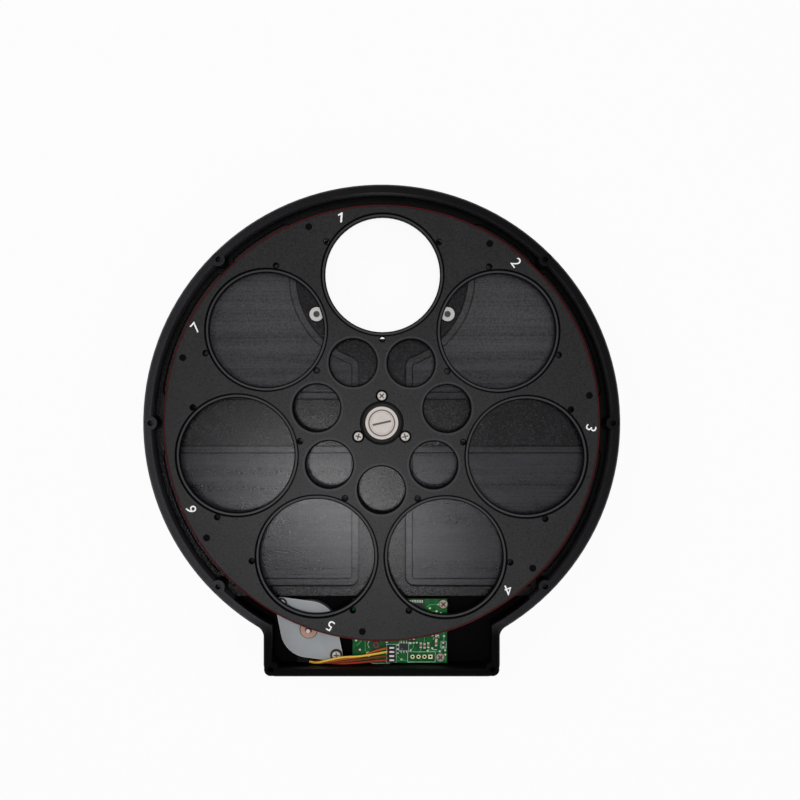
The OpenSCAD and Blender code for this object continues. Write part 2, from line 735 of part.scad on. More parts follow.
module circuit_board() color("seagreen") difference() {
    translate([board_left, board_back, board_z]) cube([board_w, board_d, board_t]);
    for (p = board_holes) at(p, board_z - eps)
        cylinder(r = 1.1, h = board_t + 2 * eps);
    for (k = [0:3]) at(pad_first + [k * pad_pitch, 0], board_z - eps)
        cylinder(r = pad_hole_r, h = board_t + 2 * eps);
    at(plated_hole_pos, board_z - eps)
        cylinder(r = plated_hole_r, h = board_t + 2 * eps);
}

module board_screws() color("silver") for (p = board_holes) at(p, board_top)
    pan_screw(m2_head_r, m2_head_h, m2_tap_r, board_t + board_screw_grip);

// Flat chip package with gull-wing legs along its two long sides
module chip(size, legs, p) {
    lift = 0.15;
    leg_w = 0.35;
    pitch = size[0] / legs;
    box([size[0], size[1], size[2] - lift], [p[0], p[1], board_top + lift]);
    for (k = [0:legs - 1]) box([leg_w, size[1] + 1.6, 0.3],
        [p[0] - size[0] / 2 + (k + 0.5) * pitch, p[1], board_top]);
}

module control_chip() color("#222226")
    chip([7, 4.4, 1.1], 10, [board_left + 26.5, board_front - 4]);

module driver_chip() color("#222226")
    chip([5, 4.4, 1.1], 8, [board_left + 12, board_front - 6.5]);

module hall_sensor() color("#26262a") chip([2.9, 1.5, 1], 3,
    magnet_circle_r * [cos(first_a + magnet_lead + 4 * -step_a),
        sin(first_a + magnet_lead + 4 * -step_a)]);

module power_inductor() color("#2a2a2e")
    at([board_left + 10, board_back + 7.8], board_top) difference() {
        cylinder(r = 1.6, h = 1.8);
        translate([0, 0, 1.5]) ring(1.3, 0.7, 1);
    }

module regulator() color("#242428")
    chip([3.4, 2.6, 1.4], 3, [board_left + 21.8, board_back + 6.8]);

capacitor_places = [[29, 7.5], [30.6, 7.3], [32.2, 7.5], [35.5, 8.3], [35.6, 10.7]];
resistor_places = [[38.6, 7.7], [24.2, 9.4], [26, 9.4], [19.2, 6.8], [19.2, 5],
    [34, 12.5], [36.2, 12.5], [14.5, 9.6]];

module ceramic_capacitors() color("#a5764e") for (p = capacitor_places)
    box([0.9, 1.7, 0.9], [board_left + p[0], board_back + p[1], board_top]);

module chip_resistors() color("#1e1e20") for (p = resistor_places)
    box([0.8, 1.6, 0.5], [board_left + p[0], board_back + p[1], board_top]);

module motor_socket() color("#1b1b1d") difference() {
    l = 3 * socket_pitch + 1.7;
    translate([socket_pos[0] - socket_w / 2, socket_pos[1] - l / 2, board_top])
        cube([socket_w, l, socket_h]);
    for (k = [0:3]) box([2.4, socket_pitch - 0.6, socket_h],
        [socket_pos[0] + 0.2, socket_pos[1] + (k - 1.5) * socket_pitch, board_top + 1.2]);
}

module motor_socket_pins() color("white") for (k = [0:3])
    box([2, 0.7, 1.3], [socket_pos[0] + 0.2, socket_pos[1] + (k - 1.5) * socket_pitch,
        board_top + 1.2]);

module header_pads() color("gold") for (k = [0:3])
    at(pad_first + [k * pad_pitch, 0], board_top) difference() {
        if (k == 3) translate([-0.85, -0.85, 0]) cube([1.7, 1.7, 0.06]);
        else cylinder(r = 0.85, h = 0.06);
        translate([0, 0, -eps]) cylinder(r = pad_hole_r, h = 1);
    }

module usb_shell() color("silver") difference() {
    y = -bay_reach + 0.6;
    box([usb_w, usb_d, usb_h], [usb_x, y + usb_d / 2, board_z - usb_h]);
    box([usb_w - 2 * usb_wall_t, usb_d, usb_h - 2 * usb_wall_t],
        [usb_x, y + usb_d / 2 - usb_wall_t - eps, board_z - usb_h + usb_wall_t]);
}

module usb_tongue() color("#1b1b1d") {
    y = -bay_reach + 0.6;
    box([5, usb_d - usb_wall_t - 1, 0.9],
        [usb_x, y + 1 + (usb_d - usb_wall_t - 1) / 2 - eps, board_z - usb_h / 2 - 0.45]);
}

// ------------------------------------------------------------------ leads

// The route, moved at one end with the motor and at the other with the socket
function placed(route) = let (
    n = len(route) - 1,
    a = [motor_pos[0], motor_pos[1], flange_z] - drawn_motor,
    b = [socket_pos[0], socket_pos[1], board_top] - drawn_socket
) [for (k = [0:n]) route[k] + a * (1 - k / n) + b * (k / n)];

// Point on a smooth curve through the route, t counted in route points
function smooth(p, t) = let (
    n = len(p) - 1, i = min(floor(t), n - 1), u = t - i,
    a = p[max(i - 1, 0)], b = p[i], c = p[i + 1], d = p[min(i + 2, n)]
) 0.5 * ((2 * b) + (c - a) * u + (2 * a - 5 * b + 4 * c - d) * u * u
    + (3 * b - a - 3 * c + d) * u * u * u);

// Tube of radius r swept along a route. Both ends meet their seats square to X
module tube(route, r, per = 3) {
    n = (len(route) - 1) * per;
    pts = [for (j = [0:n]) smooth(route, j / per)];
    rings = [for (j = [0:n]) let (
        d = j == 0 || j == n ? [1, 0, 0] : pts[j + 1] - pts[j - 1],
        f = d / norm(d),
        s = cross(f, [0, 1, 0]) / norm(cross(f, [0, 1, 0])),
        q = cross(s, f)
    ) for (k = [0:lead_sides - 1]) let (a = 360 * k / lead_sides)
        pts[j] + r * (cos(a) * s + sin(a) * q)];
    sides = [for (j = [0:n - 1], k = [0:lead_sides - 1]) let (
        k2 = (k + 1) % lead_sides, b = j * lead_sides, c = b + lead_sides
    ) [b + k, c + k, c + k2, b + k2]];
    ends = [[for (k = [0:lead_sides - 1]) k],
        [for (k = [lead_sides - 1:-1:0]) n * lead_sides + k]];
    polyhedron(points = rings, faces = concat(sides, ends));
}

module motor_lead(k) color(lead_colours[k]) tube(placed(lead_routes[k]), lead_r);

back_housing();
rear_adapter();
adapter_screws();
pivot_stud();
bearing_inner_race();
bearing_balls();
bearing_cage();
bearing_outer_race();
bearing_seals();
carousel_disc();
drive_band();
bearing_clamp_ring();
clamp_screws();
index_magnets();
motor_can();
motor_flange();
motor_front_bushing();
motor_rear_bushing();
motor_coils();
motor_stator();
motor_shaft();
motor_rotor();
motor_lead_block();
motor_screws();
motor_washers();
circuit_board();
board_screws();
control_chip();
driver_chip();
hall_sensor();
power_inductor();
regulator();
ceramic_capacitors();
chip_resistors();
motor_socket();
motor_socket_pins();
header_pads();
usb_shell();
usb_tongue();
motor_lead(0);  // motor_lead_1
motor_lead(1);  // motor_lead_2
motor_lead(2);  // motor_lead_3
motor_lead(3);  // motor_lead_4
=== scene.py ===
# %% [markdown]
# # A seven-position filter wheel, dressed
# The solids come packed from CAD: the case, the wheel, its bearing, the motor
# and the circuit board. They are the fixed frame. This lesson gives each one
# the finish of the real piece and adds what is too fine for the solids: the
# painted numbers, the thread, the leads, the print and the solder.

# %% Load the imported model
import math

import bmesh
import bpy
from mathutils import Matrix, Vector


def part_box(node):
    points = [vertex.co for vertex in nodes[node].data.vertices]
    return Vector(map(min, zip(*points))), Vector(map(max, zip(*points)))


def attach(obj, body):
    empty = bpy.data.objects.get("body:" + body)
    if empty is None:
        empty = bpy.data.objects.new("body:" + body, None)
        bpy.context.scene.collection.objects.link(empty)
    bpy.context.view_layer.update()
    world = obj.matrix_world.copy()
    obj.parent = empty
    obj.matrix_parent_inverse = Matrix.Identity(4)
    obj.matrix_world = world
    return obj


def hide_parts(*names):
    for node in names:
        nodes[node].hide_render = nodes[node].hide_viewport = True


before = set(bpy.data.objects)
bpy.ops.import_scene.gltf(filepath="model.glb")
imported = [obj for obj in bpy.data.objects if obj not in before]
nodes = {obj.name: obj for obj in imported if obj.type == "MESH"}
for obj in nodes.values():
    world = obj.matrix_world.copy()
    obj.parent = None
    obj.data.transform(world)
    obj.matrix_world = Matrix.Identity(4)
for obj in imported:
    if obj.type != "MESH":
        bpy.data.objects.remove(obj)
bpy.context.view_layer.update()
mm = 0.001
POSITIONS = 7  # filter seats on the wheel
FIRST_ANGLE = 89.7  # degrees, where the first seat stands


# %% Helpers for new objects
def make_object(name, data):
    """A new object, linked into the scene."""
    piece = bpy.data.objects.new(name, data)
    bpy.context.scene.collection.objects.link(piece)
    return piece


def final_mesh(source):
    """The mesh that an object ends up as. The object itself is removed."""
    depsgraph = bpy.context.evaluated_depsgraph_get()
    mesh = bpy.data.meshes.new_from_object(source.evaluated_get(depsgraph))
    bpy.data.objects.remove(source)
    return mesh


def object_from(name, shape):
    """An object made of a bmesh."""
    mesh = bpy.data.meshes.new(name)
    shape.to_mesh(mesh)
    return make_object(name, mesh)


# %% [markdown]
# ## Camera
# The object lies on its back and is seen from straight above, from 0.7 m over
# its rim. A long lens keeps the walls narrow, yet the depth still shows: the
# deep floor looks a little smaller than the rim.

# %% Camera
camera_data = bpy.data.cameras.new("camera")
camera_data.sensor_width = 36
camera_data.lens = 75.2
camera = make_object("camera", camera_data)
camera.location = (7.67 * mm, 9.68 * mm, 0.721)
bpy.context.scene.camera = camera
bpy.context.scene.view_settings.view_transform = "Standard"

# %% [markdown]
# ## Writing node trees as expressions
# A material is a tree of nodes. Wiring each Math node by hand hides the idea,
# so a small class wraps a socket and lets + - * / build the nodes. One method
# adds any other node: its type, its settings, then its sockets.

# %% A tree that is written as expressions
def operator(kind):
    """A method that joins two terms in one Math node."""
    def method(self, other):
        return self.tree.math(kind, self, other)
    return method


class Val:
    """A socket that takes part in ordinary arithmetic."""

    def __init__(self, tree, socket):
        self.tree, self.socket = tree, socket

    __add__ = __radd__ = operator("ADD")
    __mul__ = __rmul__ = operator("MULTIPLY")
    __sub__, __truediv__ = operator("SUBTRACT"), operator("DIVIDE")
    __pow__, highest = operator("POWER"), operator("MAXIMUM")

    def __rsub__(self, other):
        return self.tree.math("SUBTRACT", other, self)

    def __abs__(self):
        return self.tree.math("ABSOLUTE", self)

    def sine(self):
        return self.tree.math("SINE", self)


class Tree:
    """A node tree, emptied, with one method that adds any node."""

    def __init__(self, tree):
        self.tree = tree
        self.tree.nodes.clear()

    def node(self, kind, settings=None, inputs=None, out=0):
        """Adds a node and returns one of its outputs, if it has any."""
        node = self.tree.nodes.new(kind)
        for name, value in (settings or {}).items():
            setattr(node, name, value)
        for name, value in (inputs or {}).items():
            if isinstance(value, Val):
                self.tree.links.new(value.socket, node.inputs[name])
            else:
                node.inputs[name].default_value = value
        return Val(self, node.outputs[out]) if node.outputs else node

    def math(self, operation, *terms):
        return self.node("ShaderNodeMath", {"operation": operation},
                         dict(enumerate(terms)))

    def slope(self, value, start, end, first, last):
        """first up to start, last from end on, a soft slope between them."""
        return self.node("ShaderNodeMapRange", {"interpolation_type": "SMOOTHSTEP"},
                         {0: value, 1: start, 2: end, 3: first, 4: last})


# %% [markdown]
# ## A recipe for a finish
# Every finish reads Object coordinates, which are metres on this model because
# no object is moved or scaled. So a pattern has its real size, and a mask can
# be written with a drawing's own measures.

# %% The recipe class
def paint(red, green, blue):
    """A colour given as it looks on a screen, 0 to 255, made linear."""
    def linear(v):
        v = v / 255
        return v / 12.92 if v <= 0.04045 else ((v + 0.055) / 1.055) ** 2.4
    return (linear(red), linear(green), linear(blue), 1)


class Recipe(Tree):
    """A material that is being written."""

    def __init__(self, name):
        self.material = bpy.data.materials.new(name)
        self.material.use_nodes = True
        super().__init__(self.material.node_tree)
        self.place = self.node("ShaderNodeTexCoord", out=3)
        self.x, self.y, self.z = (
            self.node("ShaderNodeSeparateXYZ", None, {0: self.place}, out=k)
            for k in range(3))

    def noise(self, size, detail=2, rough=0.5, stretch=None):
        """Soft random pattern, its blotches about size metres across."""
        vector = self.place
        if stretch:
            vector = self.node("ShaderNodeVectorMath", {"operation": "MULTIPLY"},
                               {0: self.place, 1: stretch})
        return self.node("ShaderNodeTexNoise", None, {
            "Vector": vector, "Scale": 1 / size, "Detail": detail,
            "Roughness": rough})

    def step(self, value, edge, width):
        """0 below the edge, 1 above it, with a soft change between."""
        return self.slope(value, edge - width / 2, edge + width / 2, 0.0, 1.0)

    def band(self, value, low, high, width):
        """1 between two values, 0 outside them."""
        return self.step(value, low, width) * (1 - self.step(value, high, width))

    def mix(self, mask, first, second):
        """The first colour where the mask is 0, the second where it is 1."""
        return self.node("ShaderNodeMix", {"data_type": "RGBA"},
                         {0: mask, 6: first, 7: second}, out=2)

    def radius(self, centre=(0, 0)):
        """Distance from an upright axis through centre."""
        dx, dy = self.x - centre[0], self.y - centre[1]
        return (dx * dx + dy * dy) ** 0.5

    def upward(self):
        """1 on faces that look up, 0 on walls."""
        normal = self.node("ShaderNodeNewGeometry", out=1)
        return self.step(
            self.node("ShaderNodeSeparateXYZ", None, {0: normal}, out=2), 0.7, 0.2)

    def edges(self, width, strength=4.0):
        """1 along edges, where the bevelled normal leaves the face's own."""
        round_normal = self.node("ShaderNodeBevel", {"samples": 4},
                                 {"Radius": width})
        flat_normal = self.node("ShaderNodeNewGeometry", out=1)
        turn = self.node("ShaderNodeVectorMath", {"operation": "DOT_PRODUCT"},
                         {0: round_normal, 1: flat_normal}, out=1)
        return self.node("ShaderNodeClamp", None, {0: (1 - turn) * strength})

    def finish(self, colour, roughness, bump=None, depth=0.02 * mm, strength=0.5,
               **constants):
        """Ends the tree in one Principled surface and returns the material."""
        inputs = {"Base Color": colour, "Roughness": roughness}
        for name, value in constants.items():
            inputs[name.replace("_", " ")] = value
        if bump is not None:
            inputs["Normal"] = self.node("ShaderNodeBump", None, {
                "Height": bump, "Distance": depth, "Strength": strength})
        surface = self.node("ShaderNodeBsdfPrincipled", None, inputs)
        self.node("ShaderNodeOutputMaterial", None, {0: surface})
        return self.material


def dress(material, *names):
    """Gives CAD nodes a finish."""
    for name in names:
        for slot in nodes[name].material_slots:
            slot.material = material
    print(material.name, "on", ", ".join(names))


# %% [markdown]
# ## Floor and light
# A pale floor lies a hair below the object, so that no two faces share a
# plane. To the camera and to reflections most of its brightness is its own,
# which keeps the background white, and the rest is lit, which keeps the
# object's shadow. Two broad soft lamps stand left and right. Two small ones
# hang above: one fills the pockets but is never mirrored, and the other is a
# narrow strip, whose mirror image is the faint sheen on the milled floor. The
# world is a dim white that shines in reflections only near the horizon.

# %% Floor, lamps and world
REACH, DROP = 4.0, -0.05 * mm
CAMERA_RAY, GLOSSY_RAY = 0, 3  # outputs of the Light Path node
OWN_GLOW = 0.9  # share of the floor's brightness

floor_mesh = bpy.data.meshes.new("floor")
corners = [(-REACH, -REACH), (REACH, -REACH), (REACH, REACH), (-REACH, REACH)]
floor_mesh.from_pydata([(x, y, DROP) for x, y in corners], [], [(0, 1, 2, 3)])
floor = make_object("floor", floor_mesh)
floor_recipe = Recipe("floor_white")
grain = floor_recipe.noise(0.02)
seen = floor_recipe.node("ShaderNodeLightPath", out=CAMERA_RAY).highest(
    floor_recipe.node("ShaderNodeLightPath", out=GLOSSY_RAY))
lit = floor_recipe.node("ShaderNodeBsdfPrincipled", None, {
    "Base Color": floor_recipe.mix(grain, (0.84, 0.84, 0.84, 1), (0.86, 0.86, 0.86, 1)),
    "Roughness": 0.7})
glow = floor_recipe.node("ShaderNodeEmission", None, {"Strength": 1.0})
both = floor_recipe.node("ShaderNodeMixShader", None,
                         {0: seen * OWN_GLOW, 1: lit, 2: glow})
floor_recipe.node("ShaderNodeOutputMaterial", None, {0: both})
floor_mesh.materials.append(floor_recipe.material)


def softbox(name, place, size, power, glossy=True, slim=1.0):
    """A soft lamp that looks at the origin. Metal mirrors it if glossy. slim
    is its height over its width."""
    data = bpy.data.lights.new(name, "AREA")
    data.shape = "RECTANGLE"
    data.size, data.size_y, data.energy = size, size * slim, power
    lamp = make_object(name, data)
    lamp.location = place
    lamp.visible_glossy = glossy
    lamp.rotation_euler = (-Vector(place)).to_track_quat("-Z", "Y").to_euler()


softbox("lamp_left", (-0.9, 0.5, 0.9), 0.7, 3.0)
softbox("lamp_right", (0.9, -0.3, 1.0), 0.7, 1.6)
softbox("lamp_top", (0.05, 0.0, 1.30), 0.16, 8.0, glossy=False)
softbox("lamp_camera", (-0.058, -0.112, 1.25), 0.20, 0.40, slim=0.25)

SKY_FILL = 0.3  # what the world gives in every direction
HORIZON, CEILING = 0.55, 0.95  # sines of a ray's angle over the floor
HORIZON_GLOW, CEILING_GLOW = 1.0, 0.08
world = bpy.data.worlds.new("studio")
world.use_nodes = True
bpy.context.scene.world = world
sky = Tree(world.node_tree)
camera_ray, glossy_ray = (sky.node("ShaderNodeLightPath", out=k)
                          for k in (CAMERA_RAY, GLOSSY_RAY))
height = sky.node("ShaderNodeSeparateXYZ", None, {
    0: sky.node("ShaderNodeTexCoord", out=0)}, out=2)
mirrored = glossy_ray * sky.slope(height, HORIZON, CEILING, HORIZON_GLOW, CEILING_GLOW)
strength = (camera_ray * (1 - SKY_FILL) + SKY_FILL).highest(mirrored)
sky_light = sky.node("ShaderNodeBackground", None, {0: (1, 1, 1, 1), 1: strength})
sky.node("ShaderNodeOutputWorld", None, {0: sky_light})

# %% [markdown]
# ## Black anodised aluminium
# The case and the wheel are milled from aluminium and dyed black. The dye
# layer is thin and a little uneven: fine speckle from the etched surface and
# long faint bands where the cutter passed over the pocket floors, paler in the
# upper pockets. The masks are heights, because each milled level has its own.
#
# Dye alone doesn't make a dark line, because its gloss still mirrors the room. So shade
# is painted: in corners, gaps and walls, in the motor's bay and on the rim's far side
# from the light, the mask called black darkens the colour and drives Metallic as well,
# since a black metal mirrors nothing. The pale lines along the rim's edges and on the
# deep floor's side of each outline are painted highlights.

# %% The case
POCKET_FLOOR = (4.0 * mm, 6.0 * mm)  # heights between which each level lies
DEEP_FLOOR = (3.5 * mm, 4.45 * mm)
FLOOR_STEP = (4.5 * mm, 4.9 * mm)
LAND = (6.5 * mm, 8.5 * mm)
ABOVE_LANDS, UNDER_RIM, WALL_FOOT = 9.5 * mm, 19 * mm, 3.8 * mm
WALL_R, GAP_R = 96.3 * mm, 92.6 * mm  # the inner wall, and the gap before it
BAY_EDGE = -74 * mm  # where the lands end and the bay starts
BAY_RIM = -84 * mm  # where the rim has become the bay's
UPPER_START, UPPER_END = 25 * mm, 40 * mm
LINE_WIDTH, LINE_STRENGTH = 0.7 * mm, 16

case = Recipe("anodised_case")
speckle = case.noise(0.6 * mm, detail=3, rough=0.6)
blotch = case.noise(9 * mm, detail=3)
passes = case.noise(5 * mm, detail=1, stretch=(0.015, 1, 1))
fine_passes = case.noise(0.9 * mm, detail=2, stretch=(0.02, 1, 1))

level = case.upward()
wall = 1 - level
in_pocket = level * case.band(case.z, *POCKET_FLOOR, 0.4 * mm)
on_land = level * case.band(case.z, *LAND, 0.4 * mm)
below_rim = 1 - case.step(case.z, UNDER_RIM, 1 * mm)
in_bay = (1 - case.step(case.y, BAY_EDGE, 0.3 * mm)) * below_rim
bay_rim = (1 - case.step(case.y, BAY_RIM, 12 * mm)) * (1 - below_rim)
inside = 1 - case.step(case.radius(), WALL_R, 0.3 * mm)
upper = in_pocket * case.step(case.y, UPPER_START, UPPER_END)
low_part = 1 - case.step(case.z, ABOVE_LANDS, 0.5 * mm)
deep_floor = case.band(case.z, *DEEP_FLOOR, 0.05 * mm)
on_step = case.band(case.z, *FLOOR_STEP, 0.1 * mm)
on_rim = level * (1 - low_part)
in_gap = level * low_part * case.step(case.radius(), GAP_R, 0.3 * mm)
# painted shade: 0 at the rim's lower left, 1 at its upper right, the side away from the
# light, which is painted darker
painted_shade_side = case.node("ShaderNodeClamp", None, {0: 0.58 + 3.2 * case.x + 2.2 * case.y})
outlined = case.edges(LINE_WIDTH, LINE_STRENGTH)

tone = (2.2 * speckle + 0.4 * blotch - 0.8 - 0.35 * on_land
        + in_pocket * (1.1 * passes + 1.1 * fine_passes - 0.85))
upper_tone = 1.6 * speckle + 0.6 * passes + 0.6 * fine_passes - 0.9
dye_and_painted_light = case.mix(tone, paint(8, 8, 9), paint(50, 49, 54))
dye_and_painted_light = case.mix(upper * 0.55, dye_and_painted_light,
               case.mix(upper_tone, paint(48, 47, 48), paint(92, 91, 92)))
# painted highlights: a pale line on the deep floor's side of each outline, and on the
# rim's edges, fainter on the side away from the light
dye_and_painted_light = case.mix(outlined * deep_floor * 0.8, dye_and_painted_light, paint(112, 112, 118))
dye_and_painted_light = case.mix(outlined * on_rim * (0.45 - 0.35 * painted_shade_side), dye_and_painted_light, paint(70, 70, 74))

# painted shade: dark lines at the low walls and corners, dark walls inside, the gap and
# the rim on the side away from the light, and the motor's bay with the rim beside it
black = outlined * (low_part - deep_floor).highest(0) * (0.97 - 0.3 * on_step)
for part in (on_rim * painted_shade_side * 0.8, in_gap * painted_shade_side * 0.8,
             wall * inside * 0.9 * case.step(case.z, WALL_FOOT, 0.2 * mm),
             in_bay.highest(bay_rim) * 0.93):
    black = black.highest(part)
dye_and_painted_light = case.mix(black, dye_and_painted_light, paint(4, 3, 4))

shine = in_pocket * 0.30 + on_land * 0.27 + on_rim * 0.10
case_rough = 0.34 + 0.06 * blotch + 0.08 * speckle - shine + wall * 0.2
anodised_case = case.finish(dye_and_painted_light, case_rough, speckle * 2.2, depth=0.03 * mm,
                            strength=0.45, Metallic=black * 0.95,
                            Specular_IOR_Level=0.45)
dress(anodised_case, "back_housing")

# %% [markdown]
# ### Alike places on a circle
# The wheel's finish needs to know how far a point lies from the middle of the
# nearest seat. All seven seats are alike, so the angle about the axis is folded
# into one sector. The same fold serves the lightening holes, the clamp screws
# and, inside a seat, its three retainer taps.

# %% Folding a circle of places into one
def nearest(recipe, x, y, count, first, circle):
    """Fold count alike places on a circle into one. Returns how far out and
    how far aside a point lies from the nearest, and the distance."""
    half = math.pi / count
    angle = recipe.math("ARCTAN2", y, x) - first
    folded = recipe.math("WRAP", angle, half, -half)
    reach = (x * x + y * y) ** 0.5
    out = recipe.math("COSINE", folded) * reach - circle
    aside = folded.sine() * reach
    return out, aside, (out * out + aside * aside) ** 0.5


# %% [markdown]
# ### The wheel
# The dark lines either side of a seat's ledge are painted shade: they stand for the
# hair-wide bevels that the cutter leaves on every edge, which face away from the light,
# and for the shadow beside them. The same kind of painted line rings each hole, tap,
# screw and the hub, and the walls are painted dark as well. One thin pale ring stands
# outside every lightening hole. Each line is a distance from the middle of its own
# place.

# %% The wheel
wheel_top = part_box("carousel_disc")[1].z
SEAT_CIRCLE, HOLE_CIRCLE = 62.505 * mm, 28.1 * mm  # about the wheel's axis
SCREW_CIRCLE = 11.4 * mm
TAP_CIRCLE = 27.3 * mm  # about a seat's middle
LEDGE = (14.5 * mm, wheel_top - 0.8 * mm)  # heights of a seat's ledge
SEAT_LINE = (25.45 * mm, 26.15 * mm)  # radii of the dark lines
BORE_LINE, HOLE_LINE, HUB_LINE = 24.65 * mm, 10.35 * mm, 9.2 * mm
SCREW_LINE, TAP_LINE = 2.6 * mm, 1.4 * mm
PALE_RING = (10.6 * mm, 11.2 * mm)

wheel = Recipe("anodised_wheel")
first_seat, half_sector = math.radians(FIRST_ANGLE), math.pi / POSITIONS
out, aside, from_seat = nearest(wheel, wheel.x, wheel.y, POSITIONS, first_seat,
                                SEAT_CIRCLE)
from_tap = nearest(wheel, out, aside, 3, math.pi / 3, TAP_CIRCLE)[2]
from_hole = nearest(wheel, wheel.x, wheel.y, POSITIONS, first_seat + half_sector,
                    HOLE_CIRCLE)[2]
from_screw = nearest(wheel, wheel.x, wheel.y, 3, math.pi / 2, SCREW_CIRCLE)[2]
speckle = wheel.noise(0.8 * mm, detail=2, rough=0.6)
blotch = wheel.noise(14 * mm, detail=3)
turning = wheel.node("ShaderNodeTexWave", {
    "wave_type": "RINGS", "rings_direction": "Z"},
    {"Vector": wheel.place, "Scale": 260.0, "Distortion": 1.5, "Detail": 2.0})
level = wheel.upward()
ledge = level * wheel.band(wheel.z, *LEDGE, 0.4 * mm)
# wear and painted highlight: the upward edges are paler, worn and catching the light
wear_and_highlight = level * wheel.edges(0.22 * mm, 2.0)
pale_ring = wheel.band(from_hole, *PALE_RING, 0.3 * mm)

tone = 1.9 * speckle + 0.4 * blotch + 0.06 * turning - 0.65
dye_and_painted_light = wheel.mix(tone, paint(6, 6, 7), paint(38, 38, 40))
dye_and_painted_light = wheel.mix(ledge * 0.8, dye_and_painted_light, paint(58, 58, 61))
for pale in (wear_and_highlight, pale_ring):
    dye_and_painted_light = wheel.mix(pale * 0.3, dye_and_painted_light, paint(72, 72, 76))

# painted shade: dark lines round the seats, bores, holes, hub, screws and taps, and the
# dark walls
dark = wheel.band(from_seat, *SEAT_LINE, 0.25 * mm).highest(1 - level)
for distance, line, width in ((from_seat, BORE_LINE, 0.2 * mm),
                              (from_hole, HOLE_LINE, 0.25 * mm),
                              (wheel.radius(), HUB_LINE, 0.15 * mm),
                              (from_screw, SCREW_LINE, 0.2 * mm),
                              (from_tap, TAP_LINE, 0.15 * mm)):
    dark = dark.highest(1 - wheel.step(distance, line, width))
dye_and_painted_light = wheel.mix(dark * 0.94, dye_and_painted_light, paint(3, 3, 4))
anodised_wheel = wheel.finish(
    dye_and_painted_light, 0.25 + 0.08 * speckle + dark * 0.4, speckle * 0.5 + turning * 0.25,
    strength=0.4, Metallic=dark * 0.92, Specular_IOR_Level=0.45)
dress(anodised_wheel, "carousel_disc", "bearing_clamp_ring")

# %% [markdown]
# ## Metals
# Steel, zinc and bronze differ in colour and in how they were made. A turned
# face shows fine rings about its axis, a drawn sheet shows long grain, and a
# sintered bush is full of pores. One function makes each kind from a colour,
# a roughness and a grain. Small bright pieces are only partly metallic, so they
# stay pale although the room that they mirror is dim.

# %% A function for plain metals
RING_PITCH = 0.12 * mm  # between the marks of the turning tool


def shaded(colour, share, lift=0.0):
    """A share of a colour, lifted towards white."""
    return tuple(min(1, c * share + lift) for c in colour[:3]) + (1,)


def metal(name, colour, rough, grain_size=0.3 * mm, stretch=None, dull=0.6,
          centre=None, wear=0.0, pit=None, marks=None, metallic=1.0):
    """A metal finish: its tone wanders, and grain or rings break its gloss.
    Below the height pit it is painted dark, the shade in a recess. marks adds a mask of
    its own, also painted shade."""
    recipe = Recipe(name)
    grain = recipe.noise(grain_size, detail=3, stretch=stretch)
    tone = recipe.noise(grain_size * 12, detail=2)
    if centre is not None:
        rings = (recipe.radius(centre) / RING_PITCH * math.tau).sine()
        grain = grain * 0.4 + 0.6 * (0.5 + 0.5 * rings)
    shade = recipe.mix(0.35 + 0.4 * tone + 0.25 * grain, shaded(colour, dull), colour)
    if wear:
        shade = recipe.mix(recipe.edges(0.3 * mm, 2.5) * wear, shade,
                           shaded(colour, 1.5, 0.08))
    # painted shade: the marks and what lies below the pit get a dark share of the
    # colour
    hollow = marks(recipe) if marks else 0.0
    if pit is not None:
        hollow = 1 - recipe.step(recipe.z, pit, 0.08 * mm)
    shade = recipe.mix(hollow, shade, shaded(colour, 0.14))
    return recipe.finish(shade, rough + 0.12 * grain, grain, depth=0.01 * mm,
                         strength=0.25, Metallic=metallic)


# %% [markdown]
# ### Marks that the light doesn't reach
# Three masks darken what lies too deep for the light, or is turned from it.

# %% Three masks
SLOT_ANGLE = math.radians(12.5)
SLOT_REACH, SLOT_HALF = 3.9 * mm, 0.42 * mm
STUD_GROOVE = (5.15 * mm, 5.68 * mm)
SOCKET_X, SOCKET_Y, SOCKET_R = 27.97 * mm, 16.15 * mm, 1.35 * mm
TIP_R = 0.9 * mm

motor_low, motor_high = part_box("motor_can")
motor_axis = tuple((motor_low + motor_high).xy / 2)


def stud_marks(recipe):
    """The slot in the stud's head, and the groove between head and collar."""
    along = recipe.x * math.cos(SLOT_ANGLE) + recipe.y * math.sin(SLOT_ANGLE)
    across = recipe.y * math.cos(SLOT_ANGLE) - recipe.x * math.sin(SLOT_ANGLE)
    slot = (1 - recipe.step(abs(along), SLOT_REACH, 0.15 * mm)) * (
        1 - recipe.step(abs(across), SLOT_HALF, 0.12 * mm))
    groove = recipe.band(recipe.radius(), *STUD_GROOVE, 0.15 * mm)
    return slot.highest(groove) * 0.92


def socket_marks(recipe):
    """The hexagon sockets in the adapter's screws, seen as dark discs."""
    x = abs(recipe.x) - SOCKET_X
    y = abs(recipe.y - SEAT_CIRCLE) - SOCKET_Y
    return 1 - recipe.step((x * x + y * y) ** 0.5, SOCKET_R, 0.15 * mm)


def tip_marks(recipe):
    """The shaft's end is chamfered: only its middle mirrors the light."""
    return recipe.step(recipe.radius(motor_axis), TIP_R, 0.15 * mm) * 0.8


